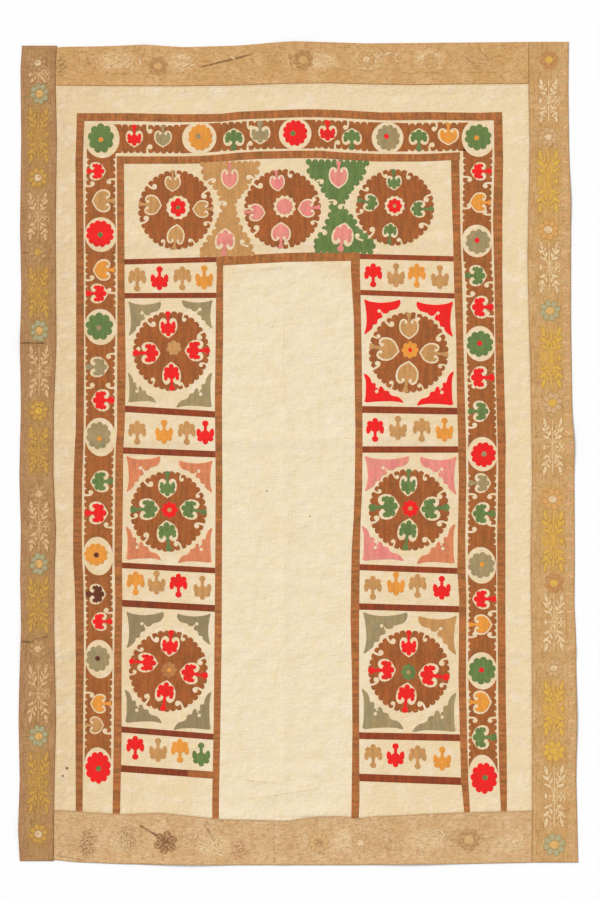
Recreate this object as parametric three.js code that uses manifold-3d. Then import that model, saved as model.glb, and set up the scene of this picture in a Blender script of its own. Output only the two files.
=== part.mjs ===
// A bed-size suzani, laid out flat and face up. The middle is one cream cotton cloth, and four brown silk-look
// strips are sewn to its sides. The stitching stands up from the cloth: three plain bands that run round three
// sides like a gate, a guard border of flowers between the first two, and panels of large round flowers.
// Millimetres. +Z is up, +Y is the end that is finished with a closed band, and z = 0 is the floor.

import * as THREE from 'three';
import { mergeVertices } from 'three/addons/utils/BufferGeometryUtils.js';
import Module from 'manifold-3d';

const wasm = await Module();
wasm.setup();

// Cloth and stitching
const GROUND_THICK = 1.5;
const BORDER_THICK = 2;
// The rectangles that the pieces are cut from.
const SPANS = {
  ground: { x: [-660, 640], y: [-1000, 1000] },
  left: { x: [-760, -620], y: [-1100, 1100] },
  right: { x: [590, 760], y: [-1100, 1100] },
  top: { x: [-660, 640], y: [960, 1100] },
  bottom: { x: [-660, 640], y: [-1100, -930] },
};
const STITCH_RISE = 0.8;
const STITCH_ROOT = 0.4;
const SEAM_GAP = 0.3;
const PRISM_LOW = -5;
const PRISM_HIGH = 30;

// The four strips. at is the place along the strip, and low and high are its two long edges there.
const LEFT_STRIP = [
  { at: -1076, low: -735, high: -645 }, { at: -994, low: -739, high: -645 }, { at: -862, low: -735, high: -643 },
  { at: -704, low: -738, high: -639 }, { at: -600, low: -736, high: -641 }, { at: -466, low: -731, high: -644 },
  { at: -334, low: -734, high: -643 }, { at: -202, low: -732, high: -639 }, { at: -60, low: -736, high: -646 },
  { at: 114, low: -732, high: -645 }, { at: 286, low: -734, high: -638 }, { at: 431, low: -731, high: -639 },
  { at: 600, low: -734, high: -640 }, { at: 835, low: -731, high: -637 }, { at: 1012, low: -733, high: -641 },
  { at: 1076, low: -729, high: -637 },
];
const RIGHT_STRIP = [
  { at: -1080, low: 618, high: 739 }, { at: -862, low: 618, high: 734 }, { at: -704, low: 618, high: 736 },
  { at: -480, low: 617, high: 733 }, { at: -400, low: 615, high: 729 }, { at: -282, low: 614, high: 730 },
  { at: -70, low: 618, high: 729 }, { at: 20, low: 617, high: 729 }, { at: 88, low: 616, high: 724 },
  { at: 210, low: 614, high: 722 }, { at: 340, low: 610, high: 720 }, { at: 510, low: 606, high: 720 },
  { at: 669, low: 609, high: 720 }, { at: 801, low: 612, high: 715 }, { at: 950, low: 609, high: 713 },
  { at: 1086, low: 609, high: 714 },
];
const TOP_STRIP = [
  { at: -660, low: 971, high: 1070 }, { at: -618, low: 971, high: 1073 }, { at: -531, low: 970, high: 1074 },
  { at: -407, low: 969, high: 1078 }, { at: -304, low: 969, high: 1072 }, { at: -164, low: 971, high: 1076 },
  { at: -74, low: 974, high: 1083 }, { at: -14, low: 976, high: 1087 }, { at: 81, low: 977, high: 1085 },
  { at: 182, low: 974, high: 1082 }, { at: 308, low: 972, high: 1083 }, { at: 420, low: 974, high: 1084 },
  { at: 630, low: 975, high: 1086 },
];
const BOTTOM_STRIP = [
  { at: -660, low: -1071, high: -941 }, { at: -584, low: -1079, high: -946 }, { at: -465, low: -1084, high: -954 },
  { at: -362, low: -1086, high: -950 }, { at: -206, low: -1087, high: -967 }, { at: -29, low: -1087, high: -971 },
  { at: 44, low: -1087, high: -960 }, { at: 121, low: -1087, high: -959 }, { at: 153, low: -1087, high: -965 },
  { at: 190, low: -1086, high: -960 }, { at: 425, low: -1084, high: -949 }, { at: 630, low: -1080, high: -944 },
];
// The small hump of the left strip's top end, and the droop of its bottom end.
const LEFT_STRIP_ENDS = { top: [[-689, 1078]], bottom: [[-687, -1079]] };

// Storage creases. across runs from side to side at height y, and down runs from end to end at x.
const CREASES = [
  { way: 'across', at: 563, half: 28, rise: 2.2, sway: 0.5 },
  { way: 'across', at: 36, half: 26, rise: 2.4, sway: 1.1 },
  { way: 'across', at: -520, half: 30, rise: 2.4, sway: 2.6 },
  { way: 'down', at: -36, half: 26, rise: 1.8, sway: 1.4 },
];
// Each crease swells and sinks along its length.
const SWELL = { mean: 0.65, swing: 0.35, wave: 310 };
// The outer edges lift off the floor here and there. along is y on the long sides and x on the ends.
const EDGE_WIDE = 60;
const EDGE_LIFTS = [
  { side: 'left', along: 291, half: 90, rise: 4.5 }, { side: 'left', along: -493, half: 120, rise: 3.5 },
  { side: 'left', along: -994, half: 90, rise: 3 }, { side: 'right', along: 43, half: 110, rise: 4 },
  { side: 'right', along: -704, half: 130, rise: 3 }, { side: 'right', along: 669, half: 100, rise: 2.5 },
  { side: 'top', along: -407, half: 90, rise: 3 }, { side: 'top', along: -14, half: 130, rise: 3.5 },
  { side: 'bottom', along: -290, half: 150, rise: 3.5 }, { side: 'bottom', along: 300, half: 160, rise: 3 },
];
const EDGE_AT = { left: -735, right: 730, top: 1082, bottom: -1084 };

// The three gate-shaped bands: bar is the width of the cross piece, and top is its upper edge.
const GATES = [
  {
    bar: 22,
    top: [[-586, 897], [-328, 895], [-127, 903], [-14, 909], [81, 909], [258, 902], [385, 900], [538, 901]],
    left: [{ at: -942, low: -588, high: -570 }, { at: -282, low: -595, high: -567 },
      { at: 299, low: -590, high: -563 }, { at: 890, low: -586, high: -565 }],
    right: [{ at: -946, low: 526, high: 551 }, { at: -282, low: 522, high: 551 },
      { at: 299, low: 511, high: 544 }, { at: 894, low: 516, high: 538 }],
  },
  {
    bar: 20,
    top: [[-479, 784], [-37, 799], [5, 798], [232, 789], [427, 795]],
    left: [{ at: -949, low: -489, high: -469 }, { at: -282, low: -489, high: -462 },
      { at: 299, low: -478, high: -455 }, { at: 776, low: -479, high: -458 }],
    right: [{ at: -952, low: 425, high: 451 }, { at: -282, low: 422, high: 448 },
      { at: 299, low: 410, high: 440 }, { at: 788, low: 405, high: 427 }],
  },
  {
    bar: 24,
    top: [[-216, 519], [-198, 520], [-29, 529], [140, 532], [162, 532]],
    left: [{ at: -960, low: -229, high: -207 }, { at: -282, low: -223, high: -203 },
      { at: 405, low: -216, high: -198 }, { at: 510, low: -216, high: -198 }],
    right: [{ at: -964, low: 137, high: 161 }, { at: -282, low: 140, high: 165 },
      { at: 405, low: 140, high: 162 }, { at: 524, low: 140, high: 162 }],
  },
];

// The crossbars that part the panels: height at the left end, height at the right end, and width.
const CROSSBAR_ENDS = { left: [-472, -208], right: [150, 432] };
const CROSSBARS = {
  left: [[505, 512, 14], [416, 417, 14], [118, 102, 17], [8, -3, 17], [-295, -310, 15], [-395, -410, 18],
    [-728, -749, 16], [-831, -850, 18]],
  right: [[520, 513, 14], [425, 415, 14], [116, 116, 18], [10, 10, 17], [-300, -311, 16], [-404, -412, 17],
    [-745, -751, 18], [-855, -866, 20]],
};

// The large round flowers, and the middles and half sizes of the panels whose corners are stitched too.
const ROUNDELS = [
  { x: -319, y: 642 }, { x: -41, y: 647 }, { x: 255, y: 649 },
  { x: -333, y: 269 }, { x: 291, y: 268 }, { x: -343, y: -151 },
  { x: 294, y: -149 }, { x: -344, y: -574 }, { x: 292, y: -576 },
];
const PANELS = [
  { x: -338, y: 264, halfWide: 117, halfTall: 145 }, { x: 286, y: 267, halfWide: 124, halfTall: 142 },
  { x: -342, y: -149, halfWide: 119, halfTall: 147 }, { x: 293, y: -146, halfWide: 128, halfTall: 147 },
  { x: -345, y: -566, halfWide: 121, halfTall: 156 }, { x: 294, y: -577, halfWide: 129, halfTall: 160 },
];
const RIM = { lobes: 42, valley: 100, crest: 106 };
const EYE_GAP = { lobes: 5, valley: 27, crest: 27 };
const EYE_FLOWER = { lobes: 6, valley: 13, crest: 22 };

// A corner piece, drawn for the lower left corner: its arms lie along the two bars that meet there.
const CORNER = [[5, 5], [60, 13], [108, 6], [74, 40], [42, 74], [6, 108], [13, 60]];

// The two hourglass fillers between the top round flowers: heights above the waist, and the half width there.
const HOURGLASSES = [{ x: -186, y: 647 }, { x: 109, y: 652 }];
const HOURGLASS = [[-121, 76], [-108, 66], [-92, 62], [-76, 46], [-58, 42], [-38, 26], [-18, 25], [0, 20],
  [18, 25], [38, 26], [58, 42], [76, 46], [92, 62], [108, 70], [121, 80]];

// The guard border: rosettes, with stitched cartouches between them.
const GUARD_HALF = 39;
const GUARD_GAP = { lobes: 6, valley: 47, crest: 47 };
const ROSETTE = { lobes: 10, valley: 30, crest: 37 };
const GUARDS = [
  { way: 'across', rosettes: [[-521, 831], [-260, 835], [-14, 846], [234, 836], [476, 835]] },
  { way: 'down', rosettes: [[-521, 831], [-523, 580], [-524, 332], [-526, 46], [-532, -267], [-529, -543],
    [-529, -833]] },
  { way: 'down', rosettes: [[476, 835], [473, 562], [478, 291], [489, -2], [485, -293], [485, -571],
    [491, -856]] },
];

// The palmettes that stand in rows between the panels, every other one head down.
const PALMETTE = [[0, 31], [23, 10], [20, -13], [7, -31], [-7, -31], [-20, -13], [-23, 10]];
const PALMETTE_ROWS = {
  left: [{ y: 462, x: [-425, -366, -306, -248] }, { y: 55, x: [-425, -354, -294, -245] },
    { y: -347, x: [-429, -374, -316, -253] }, { y: -785, x: [-430, -370, -312, -256] }],
  right: [{ y: 470, x: [198, 258, 313, 374] }, { y: 63, x: [203, 263, 326, 386] },
    { y: -351, x: [197, 258, 315, 379] }, { y: -801, x: [198, 257, 315, 380] }],
};

// A tent-shaped ridge: 1 on its line and 0 at its feet.
const tent = (distance, half) => Math.max(0, 1 - Math.abs(distance) / half);

// How far the cloth lies above the floor at a place.
function lift(x, y) {
  let height = 0;
  for (const crease of CREASES) {
    const [off, along] = crease.way === 'across' ? [y - crease.at, x] : [x - crease.at, y];
    const swell = SWELL.mean + SWELL.swing * Math.cos(along / SWELL.wave + crease.sway);
    height = Math.max(height, crease.rise * swell * tent(off, crease.half));
  }
  for (const edge of EDGE_LIFTS) {
    const onEnd = edge.side === 'top' || edge.side === 'bottom';
    const [off, along] = onEnd ? [y - EDGE_AT[edge.side], x] : [x - EDGE_AT[edge.side], y];
    const outside = Math.sign(EDGE_AT[edge.side]) * off > 0;
    const near = outside ? 1 : tent(off, EDGE_WIDE);
    height = Math.max(height, edge.rise * near * tent(along - edge.along, edge.half));
  }
  return height;
}

// The grid lines of a piece of cloth: its two ends, and the feet and line of every ridge between them. ridges is
// the side whose edge lifts are spaced along these lines, and foot is the side whose lifts fall off across them.
function gridLines([low, high], creaseWay, { ridges, foot }) {
  const lines = new Set([low, high]);
  const rows = [
    ...CREASES.filter((row) => row.way === creaseWay),
    ...EDGE_LIFTS.filter((row) => row.side === ridges).map((row) => ({ at: row.along, half: row.half })),
  ];
  for (const { at, half } of rows) {
    for (const step of [-1, 0, 1]) lines.add(at + step * half);
  }
  if (foot) {
    lines.add(EDGE_AT[foot]);
    lines.add(EDGE_AT[foot] - Math.sign(EDGE_AT[foot]) * EDGE_WIDE);
  }
  return [...lines].filter((line) => line >= low && line <= high).sort((a, b) => a - b);
}

function toManifold(geometry) {
  const bare = geometry.clone();
  bare.deleteAttribute('normal');
  bare.deleteAttribute('uv');
  const merged = mergeVertices(bare, 1e-4);
  return new wasm.Manifold(new wasm.Mesh({
    numProp: 3,
    vertProperties: Float32Array.from(merged.attributes.position.array),
    triVerts: Uint32Array.from(merged.index.array),
  }));
}

function toGeometry(solid) {
  const mesh = solid.getMesh();
  const geometry = new THREE.BufferGeometry();
  geometry.setAttribute('position', new THREE.BufferAttribute(Float32Array.from(mesh.vertProperties), 3));
  geometry.setIndex(new THREE.BufferAttribute(Uint32Array.from(mesh.triVerts), 1));
  const faceted = geometry.toNonIndexed();
  faceted.computeVertexNormals();
  return faceted;
}

// A rectangle of cloth over the given grid lines, from base to base + thick above the lifted floor.
function clothSlab(xs, ys, base, thick) {
  const geometry = new THREE.BoxGeometry(1, 1, 1, xs.length - 1, ys.length - 1, 1);
  const place = geometry.attributes.position;
  for (let i = 0; i < place.count; i += 1) {
    const x = xs[Math.round((place.getX(i) + 0.5) * (xs.length - 1))];
    const y = ys[Math.round((place.getY(i) + 0.5) * (ys.length - 1))];
    const z = lift(x, y) + base + (place.getZ(i) > 0 ? thick : 0);
    place.setXYZ(i, x, y, z);
  }
  return toManifold(geometry);
}

// An upright solid on an outline, tall enough to pass through every layer of the cloth.
function prism(points) {
  const shape = new THREE.Shape(points.map(([x, y]) => new THREE.Vector2(x, y)));
  const geometry = new THREE.ExtrudeGeometry(shape, { depth: PRISM_HIGH - PRISM_LOW, bevelEnabled: false });
  geometry.translate(0, 0, PRISM_LOW);
  return toManifold(geometry);
}

const joinAll = (solids) => solids.reduce((all, next) => all.add(next));

// The outline between a table's two edges. The table runs along y on a long side and along x on an end.
function stripOutline(rows, way, lowShift = 0, highShift = 0) {
  const place = (at, across) => (way === 'down' ? [across, at] : [at, across]);
  const low = rows.map((row) => place(row.at, row.low + lowShift));
  const high = rows.map((row) => place(row.at, row.high + highShift)).reverse();
  return [...low, ...high];
}

function flower({ lobes, valley, crest }, x, y, turn = 0) {
  const points = [];
  for (let i = 0; i < lobes * 2; i += 1) {
    const angle = turn + (Math.PI * i) / lobes;
    const radius = i % 2 ? valley : crest;
    points.push([x + radius * Math.cos(angle), y + radius * Math.sin(angle)]);
  }
  return points;
}

function placed(points, x, y, turn) {
  const [c, s] = [Math.cos(turn), Math.sin(turn)];
  return points.map(([u, v]) => [x + c * u - s * v, y + s * u + c * v]);
}

function gate({ bar, top, left, right }) {
  const cross = top.map(([x, y]) => ({ at: x, low: y - bar, high: y }));
  return joinAll([
    prism(stripOutline(cross, 'across')), prism(stripOutline(left, 'down')), prism(stripOutline(right, 'down')),
  ]);
}

function crossbars(side) {
  const [from, to] = CROSSBAR_ENDS[side];
  return CROSSBARS[side].map(([start, end, wide]) => prism(stripOutline([
    { at: from, low: start - wide / 2, high: start + wide / 2 },
    { at: to, low: end - wide / 2, high: end + wide / 2 },
  ], 'across')));
}

// A round flower: a scalloped disc with a small flower in its open middle.
function roundel({ x, y }) {
  const ring = prism(flower(RIM, x, y)).subtract(prism(flower(EYE_GAP, x, y)));
  return ring.add(prism(flower(EYE_FLOWER, x, y, Math.PI / 2)));
}

function corners({ x, y, halfWide, halfTall }) {
  return [[1, 1], [-1, 1], [1, -1], [-1, -1]].map(([sideX, sideY]) => {
    const points = CORNER.map(([u, v]) => [x - sideX * (halfWide - u), y - sideY * (halfTall - v)]);
    return prism(sideX * sideY > 0 ? points : points.reverse());
  });
}

function hourglass({ x, y }) {
  const right = HOURGLASS.map(([up, half]) => [x + half, y + up]);
  const left = HOURGLASS.map(([up, half]) => [x - half, y + up]).reverse();
  return prism([...right, ...left]);
}

// One side of the guard border: a long strip through the rosettes, opened round each of them.
function guard({ way, rosettes }) {
  const along = way === 'down' ? 1 : 0;
  const rows = rosettes.map((place) => ({
    at: place[along], low: place[1 - along] - GUARD_HALF, high: place[1 - along] + GUARD_HALF,
  })).sort((a, b) => a.at - b.at);
  const gaps = rosettes.map(([x, y]) => prism(flower(GUARD_GAP, x, y)));
  return prism(stripOutline(rows, way)).subtract(joinAll(gaps));
}

function palmettes(side) {
  return PALMETTE_ROWS[side].flatMap(({ y, x }) => x.map((across, i) => {
    const turn = i % 2 === 1 ? Math.PI : 0;
    return prism(placed(PALMETTE, across, y, turn));
  }));
}

// All the raised stitching of the ground cloth, as upright solids.
function stitching() {
  const rosettes = new Map(GUARDS.flatMap((side) => side.rosettes).map((at) => [at.join(), at]));
  return joinAll([
    ...GATES.map(gate),
    ...crossbars('left'), ...crossbars('right'),
    ...ROUNDELS.map(roundel),
    ...PANELS.flatMap(corners),
    ...HOURGLASSES.map(hourglass),
    ...GUARDS.map(guard),
    ...[...rosettes.values()].map(([x, y]) => prism(flower(ROSETTE, x, y))),
    ...palmettes('left'), ...palmettes('right'),
  ]);
}

// What lies between the seams of the two side strips, a little longer than the cloth.
const SEAM_SHIFT = SEAM_GAP / 2;
const PAST_END = 40;
function seamLine(rows, edge, shift) {
  const line = rows.map((row) => [row[edge] + shift, row.at]);
  const [[startX, startY], [endX, endY]] = [line[0], line[line.length - 1]];
  return [[startX, startY - PAST_END], ...line, [endX, endY + PAST_END]];
}
const middleSpan = prism([
  ...seamLine(RIGHT_STRIP, 'low', -SEAM_SHIFT), ...seamLine(LEFT_STRIP, 'high', SEAM_SHIFT).reverse(),
]);

const material = (name, color) => new THREE.MeshStandardMaterial({ name, color, roughness: 0.9, metalness: 0 });

function named(name, solid, look) {
  const mesh = new THREE.Mesh(toGeometry(solid), look);
  mesh.name = name;
  return mesh;
}

// The ground cloth, with its stitching raised from its face.
function groundCloth() {
  const xs = gridLines(SPANS.ground.x, 'down', {});
  const ys = gridLines(SPANS.ground.y, 'across', {});
  const topSeam = TOP_STRIP.map((row) => [row.at, row.low - SEAM_SHIFT]);
  const bottomSeam = BOTTOM_STRIP.map((row) => [row.at, row.high + SEAM_SHIFT]);
  const outline = middleSpan.intersect(prism([...bottomSeam, ...topSeam.reverse()]));
  const cloth = clothSlab(xs, ys, 0, GROUND_THICK);
  const layer = clothSlab(xs, ys, GROUND_THICK - STITCH_ROOT, STITCH_ROOT + STITCH_RISE);
  return cloth.add(layer.intersect(stitching())).intersect(outline);
}

function longStrip(rows, side, ends) {
  const xs = gridLines(SPANS[side].x, 'down', { foot: side });
  const ys = gridLines(SPANS[side].y, 'across', { ridges: side });
  const [lowShift, highShift] = side === 'left' ? [0, -SEAM_SHIFT] : [SEAM_SHIFT, 0];
  const edges = stripOutline(rows, 'down', lowShift, highShift);
  const outline = [...edges.slice(0, rows.length), ...ends.top, ...edges.slice(rows.length), ...ends.bottom];
  return clothSlab(xs, ys, 0, BORDER_THICK).intersect(prism(outline.reverse()));
}

function endStrip(rows, side) {
  const xs = gridLines(SPANS[side].x, 'down', { ridges: side });
  const ys = gridLines(SPANS[side].y, 'across', { foot: side });
  const [lowShift, highShift] = side === 'top' ? [SEAM_SHIFT, 0] : [0, -SEAM_SHIFT];
  const outline = prism(stripOutline(rows, 'across', lowShift, highShift));
  return clothSlab(xs, ys, 0, BORDER_THICK).intersect(outline).intersect(middleSpan);
}

const suzani = new THREE.Group();
suzani.name = 'suzani';
suzani.add(
  named('ground_cloth', groundCloth(), material('cream cotton', 0xecdcb6)),
  named('left_border', longStrip(LEFT_STRIP, 'left', LEFT_STRIP_ENDS), material('brown side strip', 0xb0875a)),
  named('right_border', longStrip(RIGHT_STRIP, 'right', { top: [], bottom: [] }),
    material('tan side strip', 0xba9163)),
  named('top_border', endStrip(TOP_STRIP, 'top'), material('golden top strip', 0xcba46c)),
  named('bottom_border', endStrip(BOTTOM_STRIP, 'bottom'), material('golden bottom strip', 0xcfa96f)),
);

export default suzani;
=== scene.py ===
import math

import bpy
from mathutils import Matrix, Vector
from mathutils.geometry import delaunay_2d_cdt


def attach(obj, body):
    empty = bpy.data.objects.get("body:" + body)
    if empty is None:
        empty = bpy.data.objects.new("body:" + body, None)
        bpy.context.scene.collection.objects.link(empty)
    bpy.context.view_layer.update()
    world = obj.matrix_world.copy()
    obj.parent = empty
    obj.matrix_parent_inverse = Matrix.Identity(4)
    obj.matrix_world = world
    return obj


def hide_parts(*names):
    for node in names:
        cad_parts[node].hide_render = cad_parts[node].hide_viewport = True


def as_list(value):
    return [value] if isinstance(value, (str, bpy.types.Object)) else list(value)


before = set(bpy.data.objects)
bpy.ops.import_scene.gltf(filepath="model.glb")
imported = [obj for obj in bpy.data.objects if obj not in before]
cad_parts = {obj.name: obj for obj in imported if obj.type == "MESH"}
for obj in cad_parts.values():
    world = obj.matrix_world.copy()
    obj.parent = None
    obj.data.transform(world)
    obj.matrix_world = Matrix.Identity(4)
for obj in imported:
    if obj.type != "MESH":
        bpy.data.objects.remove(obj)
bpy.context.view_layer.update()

# The ground cloth: one piece of hand-woven cream cotton, washed soft and yellowed in patches.
# It lies face up on the floor, with low ridges where it was kept folded and fine wrinkles between them.
# Sizes here and below are millimetres; meshes are made in metres.
MM = 0.001
GROUND_THICK = 1.5
GROUND_CELL = 11
SEAM_GAP = 0.3
HEM_ROLL = 0.8
# The heights of a rolled edge's lower and upper line, as shares of the cloth's thickness.
ROLLED_EDGE = (0.3, 0.65)
# The seams with the four strips, where they run straight.
SEAM_LEFT, SEAM_RIGHT, SEAM_BOTTOM, SEAM_TOP = -641, 612, -955, 972
# The strips' own edges: place along the strip, then the edges on either side there.
LEFT_STRIP = [
    (-1076, -735, -645), (-994, -739, -645), (-862, -735, -643), (-704, -738, -639), (-600, -736, -641),
    (-466, -731, -644), (-334, -734, -643), (-202, -732, -639), (-60, -736, -646), (114, -732, -645),
    (286, -734, -638), (431, -731, -639), (600, -734, -640), (835, -731, -637), (1012, -733, -641),
    (1076, -729, -637)]
RIGHT_STRIP = [
    (-1080, 618, 739), (-862, 618, 734), (-704, 618, 736), (-480, 617, 733), (-400, 615, 729),
    (-282, 614, 730), (-70, 618, 729), (20, 617, 729), (88, 616, 724), (210, 614, 722), (340, 610, 720),
    (510, 606, 720), (669, 609, 720), (801, 612, 715), (950, 609, 713), (1086, 609, 714)]
TOP_STRIP = [
    (-660, 971, 1070), (-618, 971, 1073), (-531, 970, 1074), (-407, 969, 1078), (-304, 969, 1072),
    (-164, 971, 1076), (-74, 974, 1083), (-14, 976, 1087), (81, 977, 1085), (182, 974, 1082),
    (308, 972, 1083), (420, 974, 1084), (630, 975, 1086)]
BOTTOM_STRIP = [
    (-660, -1071, -941), (-584, -1079, -946), (-465, -1084, -954), (-362, -1086, -950), (-206, -1087, -967),
    (-29, -1087, -971), (44, -1087, -960), (121, -1087, -959), (153, -1087, -965), (190, -1086, -960),
    (425, -1084, -949), (630, -1080, -944)]
# Storage creases: height along y, or place along x, then half width, rise and where their swell starts.
CREASES_ACROSS = [(563, 28, 2.2, 0.5), (36, 26, 2.4, 1.1), (-520, 30, 2.4, 2.6)]
CREASES_DOWN = [(-36, 26, 1.8, 1.4)]
# How a crease swells along its length: its usual share, how far that swings, and how long a swing is.
SWELL = (0.65, 0.35, 310)
# The outer edges lift a little: the edge, the axis across it, and its lifts.
# Each lift has its place along the edge, its half length and its rise.
EDGE_WIDE = 60
LIFTED_EDGES = [
    (-735, "x", [(291, 90, 4.5), (-493, 120, 3.5), (-994, 90, 3)]),
    (730, "x", [(43, 110, 4), (-704, 130, 3), (669, 100, 2.5)]),
    (1082, "y", [(-407, 90, 3), (-14, 130, 3.5)]),
    (-1084, "y", [(-290, 150, 3.5), (300, 160, 3)])]
# Fine wrinkles: from x, y, to x, y, half width and rise. Each runs on past its ends by a share of its length.
WRINKLE_TAIL = 0.15
WRINKLES = [
    (-190, 470, 10, 500, 24, 1.8), (-150, 430, -20, 452, 18, 0.9), (124, 40, 160, 41, 16, 0.8),
    (60, -536, 145, -526, 16, 0.9), (-205, -543, -80, -547, 18, 1.0), (5, -748, 90, -700, 20, 1.3),
    (-165, -860, -25, -874, 22, 2.2), (-150, -918, 66, -882, 20, 2.0), (-20, -835, 110, -845, 20, 1.2),
    (-60, -960, 20, -925, 22, 1.6), (20, -955, 130, -930, 20, 1.4), (-50, -530, -70, -630, 20, 1.3),
    (-37, 390, -41, 240, 20, 1.2), (-40, 250, -30, 100, 20, 1.1), (-32, -270, -34, -410, 20, 1.2),
    (560, 900, 604, 780, 20, 1.6), (575, 760, 600, 640, 18, 1.2), (-630, -700, -600, -880, 20, 1.2),
    (-620, 420, -604, 250, 18, 1.0), (570, -820, 600, -930, 20, 1.3), (-440, -830, -439, -960, 16, 0.9),
    (-100, 380, 60, 395, 26, 0.8), (-80, 180, 90, 168, 24, 0.7), (-120, -60, 20, -78, 24, 0.8),
    (-60, -180, 110, -165, 26, 0.8), (-150, -330, 40, -350, 26, 0.8)]


def between(rows, at, column):
    """A table's value at a place, on a straight line between its rows."""
    for before, after in zip(rows, rows[1:]):
        if at <= after[0]:
            break
    share = min(1, max(0, (at - before[0]) / (after[0] - before[0])))
    return before[column] + share * (after[column] - before[column])


def hump(off, half):
    """A soft ridge: 1 on its line and 0 at its feet."""
    return 0.5 + 0.5 * math.cos(math.pi * min(1, abs(off) / half))


def lift(x, y):
    """How far the cloth lies above the floor."""
    heights = [0]
    for across, lines, along in ((y, CREASES_ACROSS, x), (x, CREASES_DOWN, y)):
        for at, half, rise, start in lines:
            swell = SWELL[0] + SWELL[1] * math.cos(along / SWELL[2] + start)
            heights.append(rise * swell * hump(across - at, half))
    for edge, axis, lifts in LIFTED_EDGES:
        across, along = (x, y) if axis == "x" else (y, x)
        inside = max(0, edge - across if edge > 0 else across - edge)
        for at, half, rise in lifts:
            heights.append(rise * hump(inside, EDGE_WIDE) * hump(along - at, half))
    for x0, y0, x1, y1, half, rise in WRINKLES:
        long = math.hypot(x1 - x0, y1 - y0)
        share = ((x - x0) * (x1 - x0) + (y - y0) * (y1 - y0)) / long ** 2
        off = ((x - x0) * (y1 - y0) - (y - y0) * (x1 - x0)) / long
        if -WRINKLE_TAIL < share < 1 + WRINKLE_TAIL and abs(off) < half:
            heights.append(rise * hump(off, half) * hump(share - 0.5, 0.5 + WRINKLE_TAIL))
    return max(heights)


def steps(low, high, cell, extra=()):
    """Shares from 0 to 1 with a close line inside each end for the rolled edge, and extra lines."""
    count = round((high - low) / cell)
    roll = HEM_ROLL / (high - low)
    shares = {0, roll, 3 * roll, 1 - 3 * roll, 1 - roll, 1}
    shares.update(i / count for i in range(1, count))
    shares.update((at - low) / (high - low) for at in extra)
    return sorted(shares)


def solid(name, points, faces, material):
    """An object of one material, from points in millimetres."""
    mesh = bpy.data.meshes.new(name)
    mesh.from_pydata([[part * MM for part in point] for point in points], [], faces)
    mesh.shade_smooth()
    mesh.materials.append(material)
    made = bpy.data.objects.new(name, mesh)
    bpy.context.scene.collection.objects.link(made)
    return made


def cloth_sheet(name, node, us, vs, place, thick, cloth):
    """A closed sheet of cloth in place of a solid's node. place turns two shares into x and y.
    Its four edges are rolled, and each point notes how far in from the nearest edge it is."""
    wide, tall = len(us), len(vs)
    count = wide * tall
    flat = [place(u, v) for v in vs for u in us]
    points, faces = [], []
    for side in (0, 1):
        for number, (x, y) in enumerate(flat):
            on_edge = number % wide in (0, wide - 1) or number // wide in (0, tall - 1)
            height = (ROLLED_EDGE[side] if on_edge else side) * thick
            points.append((x, y, lift(x, y) + height))
    for a in (j * wide + i for j in range(tall - 1) for i in range(wide - 1)):
        b = a + wide
        faces.append((a, b, b + 1, a + 1))
        faces.append((count + a, count + a + 1, count + b + 1, count + b))
    rim = list(range(wide)) + [j * wide + wide - 1 for j in range(1, tall)]
    rim += [(tall - 1) * wide + i for i in range(wide - 2, -1, -1)]
    rim += [j * wide for j in range(tall - 2, 0, -1)]
    for a, b in zip(rim, rim[1:] + rim[:1]):
        faces.append((a, b, count + b, count + a))
    made = solid(name, points, faces, cloth)
    edge_in = made.data.attributes.new("edge_in", "FLOAT", "POINT")
    across, along = math.dist(place(0, 0.5), place(1, 0.5)), math.dist(place(0.5, 0), place(0.5, 1))
    for number in range(2 * count):
        u, v = us[number % wide], vs[number % count // wide]
        edge_in.data[number].value = min(u * across, (1 - u) * across, v * along, (1 - v) * along)
    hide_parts(node)
    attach(made, "root")
    return made


def dye(red, green, blue):
    """A colour as seen, from 0 to 255, as light."""
    parts = [c / 255 for c in (red, green, blue)]
    return tuple(c / 12.92 if c <= 0.04045 else ((c + 0.055) / 1.055) ** 2.4 for c in parts) + (1.0,)


class Value:
    """A result of one of a fabric's nodes, which can be added to and multiplied like a number."""

    def __init__(self, fabric, socket):
        self.fabric = fabric
        self.socket = socket

    def __add__(self, other):
        return self.fabric.maths("ADD", self, other)

    def __sub__(self, other):
        return self.fabric.maths("SUBTRACT", self, other)

    def __rsub__(self, other):
        return self.fabric.maths("SUBTRACT", other, self)

    def __mul__(self, other):
        return self.fabric.maths("MULTIPLY", self, other)

    def __truediv__(self, other):
        return self.fabric.maths("DIVIDE", self, other)

    def __rtruediv__(self, other):
        return self.fabric.maths("DIVIDE", other, self)

    def __abs__(self):
        return self.fabric.maths("ABSOLUTE", self)

    __radd__ = __add__
    __rmul__ = __mul__

    def wave(self, pitch):
        """A sine wave along this measure, as far as the pitch from one zero to the next."""
        return self.fabric.maths("SINE", self * (math.pi / pitch))

    def ramp(self, start, full):
        """0 before start and 1 past full, and soft between. full may be the lower of the two."""
        entries = {"Value": self, "From Min": start, "From Max": full}
        return self.fabric.node("ShaderNodeMapRange", {"interpolation_type": "SMOOTHSTEP"}, entries, "Result")


def connect(entry, value):
    """Gives a socket a link or a plain value."""
    if isinstance(value, Value):
        value.fabric.tree.links.new(value.socket, entry)
    else:
        entry.default_value = value


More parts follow.
